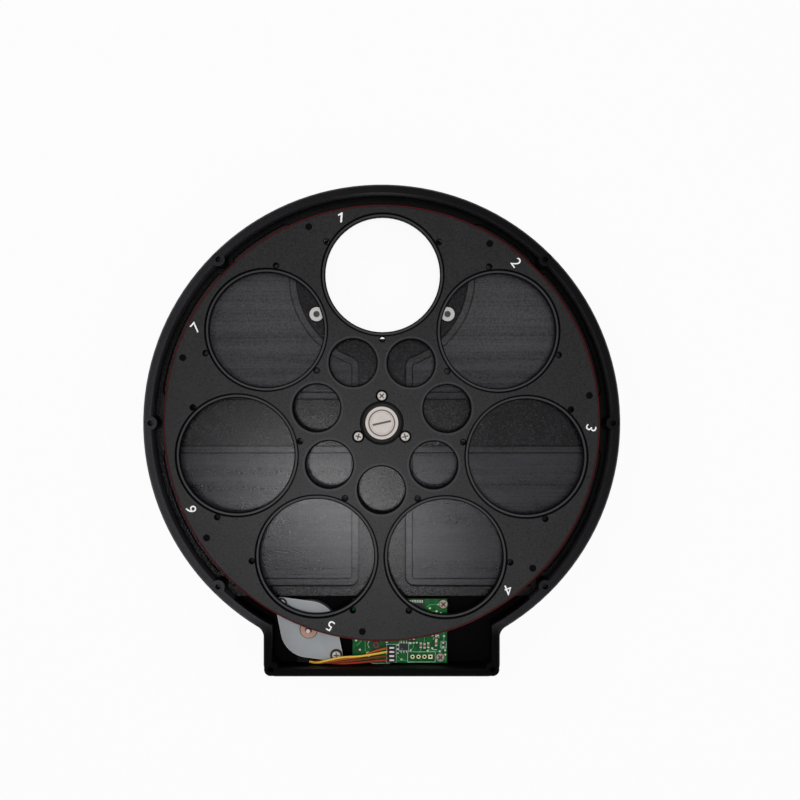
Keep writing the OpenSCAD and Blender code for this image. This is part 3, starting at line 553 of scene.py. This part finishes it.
# %% Steel, nickel, zinc, copper, brass, gold and tin
dress(metal("turned_steel", paint(238, 228, 222), 0.36, centre=(0, 0), wear=0.3,
            marks=stud_marks, metallic=0.6), "pivot_stud")
dress(metal("bearing_steel", paint(46, 44, 44), 0.4, centre=(0, 0)),
      "bearing_inner_race", "bearing_outer_race", "bearing_balls")
dress(metal("adapter_nickel", paint(238, 236, 234), 0.34, wear=0.3, dull=0.8,
            marks=socket_marks, metallic=0.6), "adapter_screws")
for name, depth, colour in (("clamp_screws", 0.22 * mm, paint(230, 224, 218)),
                            ("motor_screws", 0.25 * mm, paint(220, 214, 208)),
                            ("board_screws", 0.25 * mm, paint(190, 174, 162))):
    dress(metal(name + "_nickel", colour, 0.34, wear=0.3, dull=0.7,
                pit=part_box(name)[1].z - depth, metallic=0.6), name)
dress(metal("shaft_steel", paint(228, 214, 206), 0.3, centre=motor_axis,
            marks=tip_marks, metallic=0.6), "motor_shaft")
dress(metal("drawn_zinc", paint(178, 181, 184), 0.5, stretch=(0.15, 1, 1)),
      "motor_can")
dress(metal("connector_steel", paint(196, 196, 194), 0.3, stretch=(1, 0.1, 1)),
      "usb_shell")
dress(metal("magnet_nickel", paint(24, 24, 26), 0.4, wear=0.3), "index_magnets")
dress(metal("stator_iron", paint(112, 112, 116), 0.45, stretch=(1, 1, 8)),
      "motor_stator")
dress(metal("winding_copper", paint(176, 102, 62), 0.35, grain_size=0.25 * mm,
            stretch=(0.3, 0.3, 3)), "motor_coils")
dress(metal("cage_brass", paint(178, 148, 92), 0.35), "bearing_cage")
dress(metal("pad_gold", paint(250, 244, 192), 0.3, grain_size=0.2 * mm, dull=0.9,
            metallic=0.2), "header_pads")
dress(metal("contact_tin", paint(240, 234, 226), 0.3, grain_size=0.2 * mm,
            metallic=0.3), "motor_socket_pins")

# %% [markdown]
# ### The motor's flange and its bush
# The flange is zinc-plated sheet, blanked out, so its edge is rolled over, and the
# light that it catches is a painted highlight. A stamped groove rings the bush, painted
# dark as the shade in it. The bush is sintered bronze, pinkish and porous, dark with
# oil next to the shaft.

# %% Flange and bush
FLANGE_GROOVE = (3.45 * mm, 3.85 * mm)
OILED_R, PORE_SIZE = 1.55 * mm, 0.28 * mm

plate = Recipe("flange_zinc")
grain = plate.noise(0.5 * mm, detail=3)
cloud = plate.noise(5 * mm, detail=2)
groove = plate.band(plate.radius(motor_axis), *FLANGE_GROOVE, 0.15 * mm)
shade = plate.mix(0.3 + 0.4 * cloud + 0.3 * grain, paint(150, 154, 158),
                  paint(184, 187, 190))
# painted shade in the stamped groove
shade = plate.mix(groove * 0.9, shade, paint(30, 22, 20))
# painted highlight on the rolled edge
shade = plate.mix(plate.edges(0.6 * mm, 3.0) * 0.8, shade, paint(226, 228, 230))
dress(plate.finish(shade, 0.50 + 0.12 * grain, grain - groove * 6, depth=0.012 * mm,
                   Metallic=0.55 + groove * 0.35), "motor_flange")

bush = Recipe("sintered_bronze")
pores = bush.node("ShaderNodeTexVoronoi", None,
                  {"Vector": bush.place, "Scale": 1 / PORE_SIZE})
open_pore = 1 - bush.step(pores, 0.25, 0.3)
oil = 1 - bush.step(bush.radius(motor_axis), OILED_R, 0.5 * mm)
shade = bush.mix(bush.noise(1 * mm), paint(186, 146, 130), paint(206, 170, 152))
shade = bush.mix(open_pore * 0.5, shade, paint(96, 66, 54))
shade = bush.mix(oil * 0.85, shade, paint(52, 34, 26))
dress(bush.finish(shade, 0.45 - 0.1 * oil, 1 - open_pore, Metallic=0.6),
      "motor_front_bushing", "motor_rear_bushing")

# %% [markdown]
# ## Rubber, plastic and ferrite
# Moulded parts take their look from the tool: a fine matt grain, and on hard
# plastic a little paler at the edges. The drive band is dark red silicone.

# %% A function for moulded parts
def moulded(name, low, high, rough, grain_size=0.25 * mm, bump=0.35, edge=None,
            **constants):
    """A plastic, rubber or ceramic finish between two colours."""
    recipe = Recipe(name)
    grain = recipe.noise(grain_size, detail=3, rough=0.6)
    cloud = recipe.noise(grain_size * 15, detail=2)
    shade = recipe.mix(0.5 * grain + 0.5 * cloud, low, high)
    if edge:
        shade = recipe.mix(recipe.edges(0.15 * mm, 2.5) * 0.6, shade, edge)
    return recipe.finish(shade, rough + 0.15 * grain, grain, depth=0.015 * mm,
                         strength=bump, **constants)


# %% Band, seals, washers, magnets' rotor and sockets
dress(moulded("band_silicone", paint(64, 0, 6), paint(92, 4, 12), 0.4), "drive_band")
dress(moulded("seal_rubber", paint(20, 20, 21), paint(36, 36, 38), 0.55),
      "bearing_seals")
dress(moulded("washer_black", paint(16, 16, 17), paint(34, 34, 36), 0.4,
              edge=paint(70, 70, 72)), "motor_washers")
dress(moulded("rotor_ferrite", paint(40, 40, 44), paint(64, 64, 68), 0.4),
      "motor_rotor")
dress(moulded("nylon_black", paint(8, 8, 9), paint(22, 22, 24), 0.38,
              edge=paint(74, 74, 78)), "motor_socket", "usb_tongue")
dress(moulded("lead_nylon", paint(6, 6, 7), paint(14, 14, 15), 0.4,
              Specular_IOR_Level=0.15), "motor_lead_block")

# %% [markdown]
# ## Circuit board
# The board is glass epoxy under green solder mask. The mask is glossy and
# clear enough to show the copper below it as a paler green, and the sawn edge
# shows the bare tan laminate. The weave of the glass is just felt as a fine
# grid.

# %% Solder mask
WEAVE = 0.5 * mm  # width of one strand of glass
board_low, board_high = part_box("circuit_board")
board_top = board_high.z

mask = Recipe("solder_mask")
level = mask.upward()
pour = mask.step(mask.noise(2.6 * mm, detail=0), 0.52, 0.06)
weave = (mask.x / WEAVE * math.tau).sine() * (mask.y / WEAVE * math.tau).sine()
fibre = mask.noise(0.12 * mm, detail=1)
shade = mask.mix(0.5 * pour + 0.2 * fibre, paint(3, 66, 28), paint(10, 96, 46))
shade = mask.mix(1 - level, shade,
                 mask.mix(fibre, paint(70, 92, 54), paint(118, 116, 72)))
solder_mask = mask.finish(shade, 0.16 + 0.08 * fibre, pour * 0.5 + weave * 0.1,
                          strength=0.3, Coat_Weight=0.1, Specular_IOR_Level=0.25)
dress(solder_mask, "circuit_board")

# %% [markdown]
# ### Chips and small parts
# A chip is black epoxy with tin-plated legs on its two long sides. The model
# keeps body and legs in one node, so the mask between them is simply how far
# a point lies from the chip's long axis. Capacitors, resistors and the inductor
# are moulded or dipped.

# %% Chips
def chip_finish(name, body_depth):
    """Black epoxy body, tin legs outside body_depth."""
    low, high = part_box(name)
    middle = (low.y + high.y) / 2
    recipe = Recipe(name + "_finish")
    leg = recipe.step(abs(recipe.y - middle), body_depth / 2 + 0.05 * mm, 0.05 * mm)
    grain = recipe.noise(0.12 * mm, detail=2)
    epoxy = recipe.mix(grain, paint(22, 22, 24), paint(44, 44, 47))
    shade = recipe.mix(leg, epoxy, recipe.mix(grain, paint(178, 178, 176),
                                              paint(224, 224, 220)))
    dot = recipe.radius((low.x + 0.9 * mm, low.y + 1.5 * mm))
    shade = recipe.mix(1 - recipe.step(dot, 0.3 * mm, 0.08 * mm), shade,
                       paint(96, 96, 98))
    dress(recipe.finish(shade, 0.5 - 0.15 * leg, grain, depth=0.01 * mm,
                        Metallic=leg * 0.9), name)


# name, legs on each side, depth of the body in millimetres
CHIPS = (("control_chip", 10, 4.4), ("driver_chip", 8, 4.4), ("hall_sensor", 3, 1.5),
         ("regulator", 3, 2.6))
for name, legs, depth in CHIPS:
    chip_finish(name, depth * mm)

# %% Capacitors, resistors and inductor
COIL_RING = (0.72 * mm, 1.28 * mm)  # radii between which the copper shows

dress(moulded("capacitor_ceramic", paint(120, 78, 54), paint(164, 116, 84), 0.35),
      "ceramic_capacitors")
dress(moulded("resistor_film", paint(18, 20, 22), paint(38, 42, 44), 0.3),
      "chip_resistors")

coil_low, coil_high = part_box("power_inductor")
coil = Recipe("inductor_ferrite")
middle = tuple((coil_low + coil_high).xy / 2)
turns = coil.band(coil.radius(middle), *COIL_RING, 0.06 * mm)
grain = coil.noise(0.15 * mm, detail=2)
shade = coil.mix(grain, paint(30, 28, 30), paint(54, 50, 52))
shade = coil.mix(turns * 0.8, shade,
                 coil.mix(grain, paint(84, 40, 32), paint(140, 80, 62)))
dress(coil.finish(shade, 0.45, grain, depth=0.01 * mm), "power_inductor")

# %% [markdown]
# ## Finishing a piece
# Each new piece ends as one plain mesh at the origin. It then gets a finish, where one
# is given, and the body that it moves with, which is the housing unless another is
# named. A CAD node that it replaces is hidden.

# %% A helper for new pieces
def settle(piece, material=None, replaced=None, body="housing"):
    """Names its finish, its body and the CAD node that it replaces."""
    if material:
        piece.data.materials.clear()
        piece.data.materials.append(material)
    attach(piece, body)
    if replaced:
        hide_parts(replaced)
    print(piece.name, "faces:", len(piece.data.polygons), "on", body)


# %% [markdown]
# ## Geometry Nodes for what repeats or follows a path
# Leads, printed lines, vias and solder joints all repeat one small rule. Each
# rule is a tree with named sizes. It builds on bare points or edges, and the
# result is kept as a plain mesh.

# %% Writing and running a geometry tree
class Rule(Tree):
    """A Geometry Nodes tree with named sizes."""

    def __init__(self, name, **sizes):
        super().__init__(bpy.data.node_groups.new(name, "GeometryNodeTree"))
        face = self.tree.interface
        face.new_socket("Geometry", in_out="INPUT", socket_type="NodeSocketGeometry")
        face.new_socket("Geometry", in_out="OUTPUT", socket_type="NodeSocketGeometry")
        for size, value in sizes.items():
            face.new_socket(size, in_out="INPUT",
                            socket_type="NodeSocketFloat").default_value = value
        entry = self.tree.nodes.new("NodeGroupInput")
        self.start = Val(self, entry.outputs[0])
        self.sizes = {size: Val(self, entry.outputs[size]) for size in sizes}

    def end(self, geometry, material):
        """Closes the tree: copies become real and get the material."""
        real = self.node("GeometryNodeRealizeInstances", None, {0: geometry})
        done = self.node("GeometryNodeSetMaterial", None,
                         {"Geometry": real, "Material": material})
        self.node("NodeGroupOutput", None, {0: done})

    def grow(self, name, points, edges=(), turns=None, **sizes):
        """Runs the rule on points and edges and returns a plain mesh object."""
        seed = bpy.data.meshes.new(name + "_seed")
        seed.from_pydata(points, edges, [])
        if turns:
            turn = seed.attributes.new("turn", "FLOAT", "POINT")
            turn.data.foreach_set("value", turns)
        source = make_object(name + "_seed", seed)
        modifier = source.modifiers.new("rule", "NODES")
        modifier.node_group = self.tree
        for item in self.tree.interface.items_tree:
            if item.in_out == "INPUT" and item.name in sizes:
                modifier[item.identifier] = sizes[item.name]
        mesh = final_mesh(source)
        mesh.name = name
        return make_object(name, mesh)


# %% [markdown]
# ## Leads
# Four thin leads run from the motor's lead block, over its screw, to the socket
# on the board. They are held at both ends, so their route is fixed: the same
# points as in the solids, smoothed. A circle is swept along each.

# %% Routes of the leads, in millimetres
routes = {
    "orange": [(-31.01, -101.69, 7.7), (-27.74, -101.96, 9.7), (-25.27, -101.73, 12.2),
               (-21.19, -100.9, 13.6), (-16.52, -100.08, 13.55), (-9.44, -99.25, 12.7),
               (-3.37, -97.02, 11.7), (2.3, -95.5, 11.45)],
    "yellow": [(-31.01, -101.69, 8.9), (-28.94, -101.86, 10.6),
               (-26.87, -101.53, 12.7), (-22.99, -100.5, 14.0), (-17.02, -99.18, 14.4),
               (-9.44, -98.75, 14.0), (-3.37, -98.02, 12.9), (2.3, -97.2, 11.45)],
    "brown": [(-31.01, -101.69, 6.5), (-26.94, -102.01, 8.2), (-23.87, -101.93, 11.0),
              (-20.19, -101.65, 12.9), (-15.92, -101.08, 13.2), (-9.44, -100.35, 12.9),
              (-3.37, -99.52, 12.0), (2.3, -99.0, 11.45)],
    "red": [(-31.01, -101.69, 5.3), (-25.94, -102.06, 6.6), (-22.47, -102.03, 9.4),
            (-19.39, -102.05, 12.0), (-15.12, -101.98, 12.5), (-9.44, -101.65, 12.2),
            (-3.87, -101.22, 11.7), (2.3, -100.7, 11.45)],
}


def smooth(route, steps=8):
    """Points on a smooth curve through the route, in metres."""
    line = []
    last = len(route) - 1
    for j in range(last * steps + 1):
        i = min(j // steps, last - 1)
        u = j / steps - i
        a, b, c, d = (Vector(route[k]) for k in
                      (max(i - 1, 0), i, i + 1, min(i + 2, last)))
        line.append(mm * 0.5 * (2 * b + (c - a) * u
                                + (2 * a - 5 * b + 4 * c - d) * u * u
                                + (3 * b - a - 3 * c + d) * u * u * u))
    return line


# %% Rule and finish of the leads
LEAD_R = 0.45 * mm
sweep = Rule("swept_lead", Radius=LEAD_R)
curve = sweep.node("GeometryNodeMeshToCurve", None, {0: sweep.start})
circle = sweep.node("GeometryNodeCurvePrimitiveCircle", None,
                    {"Resolution": 16, "Radius": sweep.sizes["Radius"]})
tube = sweep.node("GeometryNodeCurveToMesh", None,
                  {"Curve": curve, "Profile Curve": circle, "Fill Caps": True})
undressed = bpy.data.materials.new("lead_start")
sweep.end(sweep.node("GeometryNodeSetShadeSmooth", None, {0: tube}), undressed)

skin_colours = {
    "orange": ((150, 62, 24), (196, 96, 44)),
    "yellow": ((206, 158, 42), (240, 204, 92)),
    "brown": ((92, 40, 18), (132, 66, 34)),
    "red": ((124, 34, 20), (168, 60, 38)),
}
for number, (name, route) in enumerate(routes.items(), 1):
    line = smooth(route)
    lead = sweep.grow(f"motor_lead_{name}", line,
                      [(k, k + 1) for k in range(len(line) - 1)], Radius=LEAD_R)
    low, high = skin_colours[name]
    skin = moulded(f"lead_{name}_skin", paint(*low), paint(*high), 0.3,
                   grain_size=0.5 * mm, bump=0.2)
    settle(lead, skin, f"motor_lead_{number}")

# %% [markdown]
# ## The painted numbers
# Each position has its number printed in white beside the seat, its top
# towards the rim. A text object gives the shape, becomes a mesh and is turned
# into place. The 1 has a flag, which the font's own doesn't have, so it is
# drawn. All seven are one piece, which turns with the wheel.

# %% Numbers on the wheel
NUMBER_RADIUS, NUMBER_SIZE = 87.8 * mm, 6.3 * mm
NUMBER_LEAD = 11.8  # degrees from the seat to its number
NUMBER_TILT = -3.6
PRINT_HEIGHT = 0.02 * mm


def one_with_flag():
    """The outline of a 1, point by point."""
    curve = bpy.data.curves.new("number_1", "CURVE")
    curve.dimensions, curve.fill_mode = "2D", "BOTH"
    points = [(0.9, -1.6), (0.9, 2.6), (0.4, 2.6), (-1.05, 1.55), (-0.85, 1.0),
              (0.1, 1.55), (0.1, -1.6)]
    stroke = curve.splines.new("POLY")
    stroke.points.add(len(points) - 1)
    for point, (x, y) in zip(stroke.points, points):
        point.co = (x * mm, y * mm, 0, 1)
    stroke.use_cyclic_u = True
    return curve


sheet_of_numbers = bmesh.new()
for k in range(POSITIONS):
    if k == 0:
        text = one_with_flag()
    else:
        text = bpy.data.curves.new(f"number_{k + 1}", "FONT")
        text.body, text.size = str(k + 1), NUMBER_SIZE
        text.align_x, text.align_y = "CENTER", "CENTER"
    text.extrude = PRINT_HEIGHT
    mesh = final_mesh(make_object(f"number_{k + 1}", text))
    seat_angle = FIRST_ANGLE - k * 360 / POSITIONS
    spot = math.radians(seat_angle + NUMBER_LEAD)
    place = Matrix.Translation((NUMBER_RADIUS * math.cos(spot),
                                NUMBER_RADIUS * math.sin(spot), wheel_top))
    upright = Matrix.Rotation(math.radians(seat_angle - 90 + NUMBER_TILT), 4, "Z")
    mesh.transform(place @ upright)
    sheet_of_numbers.from_mesh(mesh)
bmesh.ops.remove_doubles(sheet_of_numbers, verts=sheet_of_numbers.verts, dist=1e-7)
bmesh.ops.recalc_face_normals(sheet_of_numbers, faces=sheet_of_numbers.faces)

ink = Recipe("white_ink")
wear = ink.noise(0.6 * mm, detail=3)
shade = ink.mix(ink.step(wear, 0.38, 0.2), paint(206, 206, 204), paint(246, 246, 244))
white_ink = ink.finish(shade, 0.5 + 0.2 * wear, wear, depth=0.005 * mm)
settle(object_from("position_numbers", sheet_of_numbers),
       white_ink, body="carousel")

# %% [markdown]
# ## The camera-side thread
# The ring behind the light path is threaded M54 x 0.75, so that a camera
# screws on. A thread is a wall whose radius depends on height and angle
# together, so it is easiest to write as a grid of points: for each angle the
# same saw of crests, lifted by one pitch a turn.

# %% Threaded ring
adapter_low, adapter_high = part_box("rear_adapter")
ring_x, ring_y = (adapter_low + adapter_high).xy / 2
ring_t = adapter_high.z
OUTER_R, CREST_R, ROOT_R = 35 * mm, 26.6 * mm, 26.98 * mm
PITCH, CHAMFER, OUTER_CHAMFER = 0.75 * mm, 0.6 * mm, 0.4 * mm
FLAT, FLANK = 0.12, 0.76  # shares of half a pitch
COLUMNS, ROWS = 240, 36


def thread_radius(z, turn):
    """Crest at whole pitches, root between them, running out at both ends."""
    saw = abs(((z / PITCH - turn) % 1.0) * 2 - 1)
    depth = min(1.0, max(0.0, (saw - FLAT) / FLANK))
    fade = min(1.0, (z - CHAMFER) / (0.3 * mm), (ring_t - z) / (0.2 * mm))
    return CREST_R + (ROOT_R - CREST_R) * depth * max(0.0, fade)


heights = [CHAMFER + (ring_t - CHAMFER) * j / ROWS for j in range(ROWS + 1)]
outside = [(OUTER_R, ring_t), (OUTER_R, OUTER_CHAMFER), (OUTER_R - OUTER_CHAMFER, 0)]
ring_points, ring_faces = [], []
for i in range(COLUMNS):
    turn = i / COLUMNS
    inside = [(CREST_R + CHAMFER, 0)] + [(thread_radius(z, turn), z) for z in heights]
    column = inside + outside
    for r, z in column:
        ring_points.append((ring_x + r * math.cos(turn * math.tau),
                            ring_y + r * math.sin(turn * math.tau), z))
    a, b = i * len(column), ((i + 1) % COLUMNS) * len(column)
    for j in range(len(column)):
        j2 = (j + 1) % len(column)
        ring_faces.append((a + j, a + j2, b + j2, b + j))
ring_mesh = bpy.data.meshes.new("ring_grid")
ring_mesh.from_pydata(ring_points, [], ring_faces)
ring_shape = bmesh.new()
ring_shape.from_mesh(ring_mesh)
bmesh.ops.recalc_face_normals(ring_shape, faces=ring_shape.faces)
settle(object_from("threaded_ring", ring_shape), anodised_case,
       "rear_adapter")

# %% [markdown]
# ## Print, tracks and pads on the board
# A board is printed flat work: copper tracks under the mask, white print over
# it, tinned pads and plated holes. Lines are drawn as edges, and a rule gives
# them width and a little height. A second rule puts a ring on each point.

# %% The two rules
def flat_profile(rule):
    """The ribbon's cross-section, from the rule's own sizes."""
    return rule.node("GeometryNodeCurvePrimitiveQuadrilateral", None, {
        "Width": rule.sizes["Width"], "Height": rule.sizes["Height"]})


def line_rule(name, material):
    """Edges become flat ribbons."""
    rule = Rule(name, Width=0.3 * mm, Height=0.03 * mm)
    curve = rule.node("GeometryNodeMeshToCurve", None, {0: rule.start})
    level = rule.node("GeometryNodeSetCurveNormal", {"mode": "Z_UP"}, {0: curve})
    rule.end(rule.node("GeometryNodeCurveToMesh", None, {
        "Curve": level, "Profile Curve": flat_profile(rule), "Fill Caps": True}),
        material)
    return rule


def ring_rule(name, material):
    """Each point becomes a flat ring."""
    rule = Rule(name, Radius=0.5 * mm, Width=0.3 * mm, Height=0.06 * mm)
    circle = rule.node("GeometryNodeCurvePrimitiveCircle", None,
                       {"Resolution": 24, "Radius": rule.sizes["Radius"]})
    ring = rule.node("GeometryNodeCurveToMesh", None,
                     {"Curve": circle, "Profile Curve": flat_profile(rule)})
    rule.end(rule.node("GeometryNodeInstanceOnPoints", None,
                       {"Points": rule.start, "Instance": ring}), material)
    return rule


def outline(x0, y0, x1, y1):
    """The closed line round a rectangle."""
    return [(x0, y0), (x1, y0), (x1, y1), (x0, y1), (x0, y0)]


def as_edges(lines, z):
    """Lists of x, y in millimetres become points and edges at height z."""
    points, edges = [], []
    for line in lines:
        start = len(points)
        points += [(x * mm, y * mm, z) for x, y in line]
        edges += [(k, k + 1) for k in range(start, len(points) - 1)]
    return points, edges


# %% White print
ARC_X, ARC_Y, ARC_R = -3.9, -94.35, 2.1  # two arcs round the inductor
print_lines = [outline(10.9, -101.85, 22.7, -97.5), outline(1.95, -101.9, 6.1, -94.3),
               outline(25.1, -95.9, 27.3, -93.0), outline(7.2, -97.1, 11.4, -93.7)]
print_lines += [[(ARC_X + ARC_R * math.cos(math.radians(a)),
                  ARC_Y + ARC_R * math.sin(math.radians(a)))
                 for a in range(start, start + 91, 15)] for start in (-45, 135)]
print_lines += [[(19.2, -96.7), (19.9, -96.7)], [(21.6, -96.6), (23.4, -96.6)],
                [(24.2, -91.6), (24.2, -90.2)], [(21.7, -92.3), (22.3, -91.4)]]

print_ink = Recipe("print_ink")
wear = print_ink.noise(0.5 * mm, detail=2)
shade = print_ink.mix(wear, paint(140, 188, 166), paint(214, 230, 220))
silk = line_rule("printed_line", print_ink.finish(shade, 0.55, wear, depth=0.005 * mm))
points, edges = as_edges(print_lines, board_top + 0.015 * mm)
settle(silk.grow("board_print", points, edges, Width=0.24 * mm, Height=0.03 * mm))

# %% Copper tracks under the mask
track_lines = [
    [(6.5, -95.5), (7.4, -94.6), (7.4, -91.0), (3.0, -86.6)],
    [(6.5, -97.4), (8.6, -97.4), (11.9, -94.1), (11.9, -88.0)],
    [(6.5, -99.2), (8.2, -100.9), (9.6, -100.9)],
    [(6.5, -101.3), (9.6, -101.3), (10.6, -101.3)],
    [(-5.7, -98.5), (-7.2, -97.0), (-7.2, -90.0), (-3.4, -86.2)],
    [(-10.8, -95.0), (-8.8, -93.0), (-8.8, -84.0)],
    [(-3.9, -92.4), (-3.9, -90.0), (-1.6, -87.7)],
    [(12.2, -96.8), (13.4, -95.6), (13.4, -90.0), (15.0, -88.4), (15.0, -84.0)],
    [(16.5, -96.2), (16.5, -97.0), (15.5, -98.0)],
    [(19.7, -96.2), (20.9, -97.3), (24.6, -97.3), (25.6, -96.3)],
    [(24.6, -97.3), (26.9, -99.6), (26.9, -101.4)],
    [(26.3, -92.6), (26.3, -84.0), (24.9, -82.6), (24.9, -81.0)],
    [(23.3, -80.3), (21.0, -80.3), (18.6, -82.7)],
    [(24.0, -77.4), (20.4, -77.4), (19.2, -78.6)],
    [(18.1, -93.3), (18.1, -90.6), (16.8, -89.3), (16.8, -84.4)],
]

copper = Recipe("masked_copper")
grain = copper.noise(0.4 * mm, detail=2)
shade = copper.mix(grain, paint(32, 136, 74), paint(58, 162, 92))
masked_copper = copper.finish(shade, 0.25 + 0.1 * grain, grain, depth=0.004 * mm,
                              Metallic=0.3, Coat_Weight=0.3)
tracks = line_rule("track", masked_copper)
points, edges = as_edges(track_lines, board_top + 0.01 * mm)
settle(tracks.grow("board_tracks", points, edges, Width=0.42 * mm, Height=0.03 * mm))

# %% Vias, test pads and the plated hole
gold = nodes["header_pads"].material_slots[0].material
tin = nodes["motor_socket_pins"].material_slots[0].material
via_spots = [(8.3, -100.7), (12.2, -93.8), (-5.0, -90.6), (23.3, -80.3), (25.0, -81.0),
             (26.9, -98.7), (-9.4, -96.6), (13.4, -91.4), (-8.8, -86.0),
             (20.4, -79.0), (16.8, -84.4), (26.3, -88.2), (7.4, -92.0), (-11.0, -92.6)]
pad_spots = [(12.2, -96.8), (14.8, -93.6), (19.4, -97.1), (24.6, -97.3), (26.4, -90.8),
             (24.0, -77.4), (21.4, -96.0), (26.9, -96.9)]
rings, dots = ring_rule("via", gold), ring_rule("test_pad", tin)
flat = board_top + 0.02 * mm
for name, rule, spots, radius, width, height, slot in (
        ("gold_vias", rings, via_spots, 0.28, 0.3, 0.06, "gold"),
        ("plated_hole", rings, [(-5.69, -98.5)], 0.85, 0.5, 0.08, "gold"),
        ("test_pads", dots, pad_spots, 0.22, 0.4, 0.06, "tin")):
    piece = rule.grow(name, [(x * mm, y * mm, flat) for x, y in spots],
                      Radius=radius * mm, Width=width * mm, Height=height * mm)
    settle(piece)

# %% [markdown]
# ### Tinned ends and solder
# A chip capacitor or resistor has a tinned cap at each end, and solder climbs
# it in a hollow curve from the pad. One small shape holds both: a profile of
# cap and fillet, drawn out to the part's width. A rule sets it at each end and
# turns it outward. Chip legs get the fillet alone.

# %% Cap and fillet
def drawn_out(name, profile, width):
    """A profile in y and z, drawn out along x, with its edges softened."""
    shape = bmesh.new()
    sides = [[shape.verts.new((x * mm, y * mm, z * mm)) for y, z in profile]
             for x in (-width / 2, width / 2)]
    count = len(profile)
    shape.faces.new(sides[0])
    shape.faces.new(sides[1][::-1])
    for k in range(count):
        k2 = (k + 1) % count
        shape.faces.new((sides[0][k], sides[0][k2], sides[1][k2], sides[1][k]))
    bmesh.ops.recalc_face_normals(shape, faces=shape.faces)
    bmesh.ops.bevel(shape, geom=shape.edges[:], offset=0.03 * mm, segments=1,
                    affect="EDGES")
    return object_from(name, shape)


def joint_rule(name, shape, material):
    """A copy of the shape at each point, turned by the point's own angle."""
    rule = Rule(name)
    copy = rule.node("GeometryNodeObjectInfo", None, {0: shape}, out=4)
    turn = rule.node("GeometryNodeInputNamedAttribute", {"data_type": "FLOAT"},
                     {"Name": "turn"})
    spin = rule.node("ShaderNodeCombineXYZ", None, {"Z": turn})
    rule.end(rule.node("GeometryNodeInstanceOnPoints", None, {
        "Points": rule.start, "Instance": copy, "Rotation": spin}), material)
    return rule


def cap_profile(height):
    """Cap and fillet for a part of this height, y outward from its end."""
    return [(-0.28, 0), (0.42, 0), (0.24, 0.08), (0.12, 0.22), (0.03, height * 0.7),
            (0.03, height + 0.02), (-0.28, height + 0.02)]


# %% Solder on the chip parts
# places are millimetres from the board's lower left corner
board_left, board_back = board_low.x / mm, board_low.y / mm
capacitors = [(29, 7.5), (30.6, 7.3), (32.2, 7.5), (35.5, 8.3), (35.6, 10.7)]
resistors = [(38.6, 7.7), (24.2, 9.4), (26, 9.4), (19.2, 6.8), (19.2, 5), (34, 12.5),
             (36.2, 12.5), (14.5, 9.6)]
for name, places, width, length, height in (
        ("capacitor_solder", capacitors, 0.94, 1.7, 0.9),
        ("resistor_solder", resistors, 0.84, 1.6, 0.5)):
    shape = drawn_out(name + "_shape", cap_profile(height), width)
    rule = joint_rule(name, shape, tin)
    ends = [((board_left + x) * mm, (board_back + y + end) * mm, board_top)
            for x, y in places for end in (length / 2, -length / 2)]
    settle(rule.grow(name, ends, turns=[0.0, math.pi] * len(places)))
    bpy.data.objects.remove(shape)

# %% Solder at the chips' legs
LEG_REACH = 0.8  # millimetres from body to a leg's tip
toe = drawn_out("toe_shape", [(-0.1, 0), (0.5, 0), (0.22, 0.06), (0.06, 0.18),
                              (0.02, 0.31), (-0.1, 0.31)], 0.42)
toes, toe_turns = [], []
for name, legs, depth in CHIPS:
    low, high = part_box(name)
    middle_y = (low.y + high.y) / 2
    size = high.x - low.x
    for k in range(legs):
        x = low.x + size * (k + 0.5) / legs
        for side, turn in ((1, 0.0), (-1, math.pi)):
            toes.append((x, middle_y + side * (depth / 2 + LEG_REACH) * mm, board_top))
            toe_turns.append(turn)
rule = joint_rule("leg_solder", toe, tin)
settle(rule.grow("leg_solder", toes, turns=toe_turns))
bpy.data.objects.remove(toe)
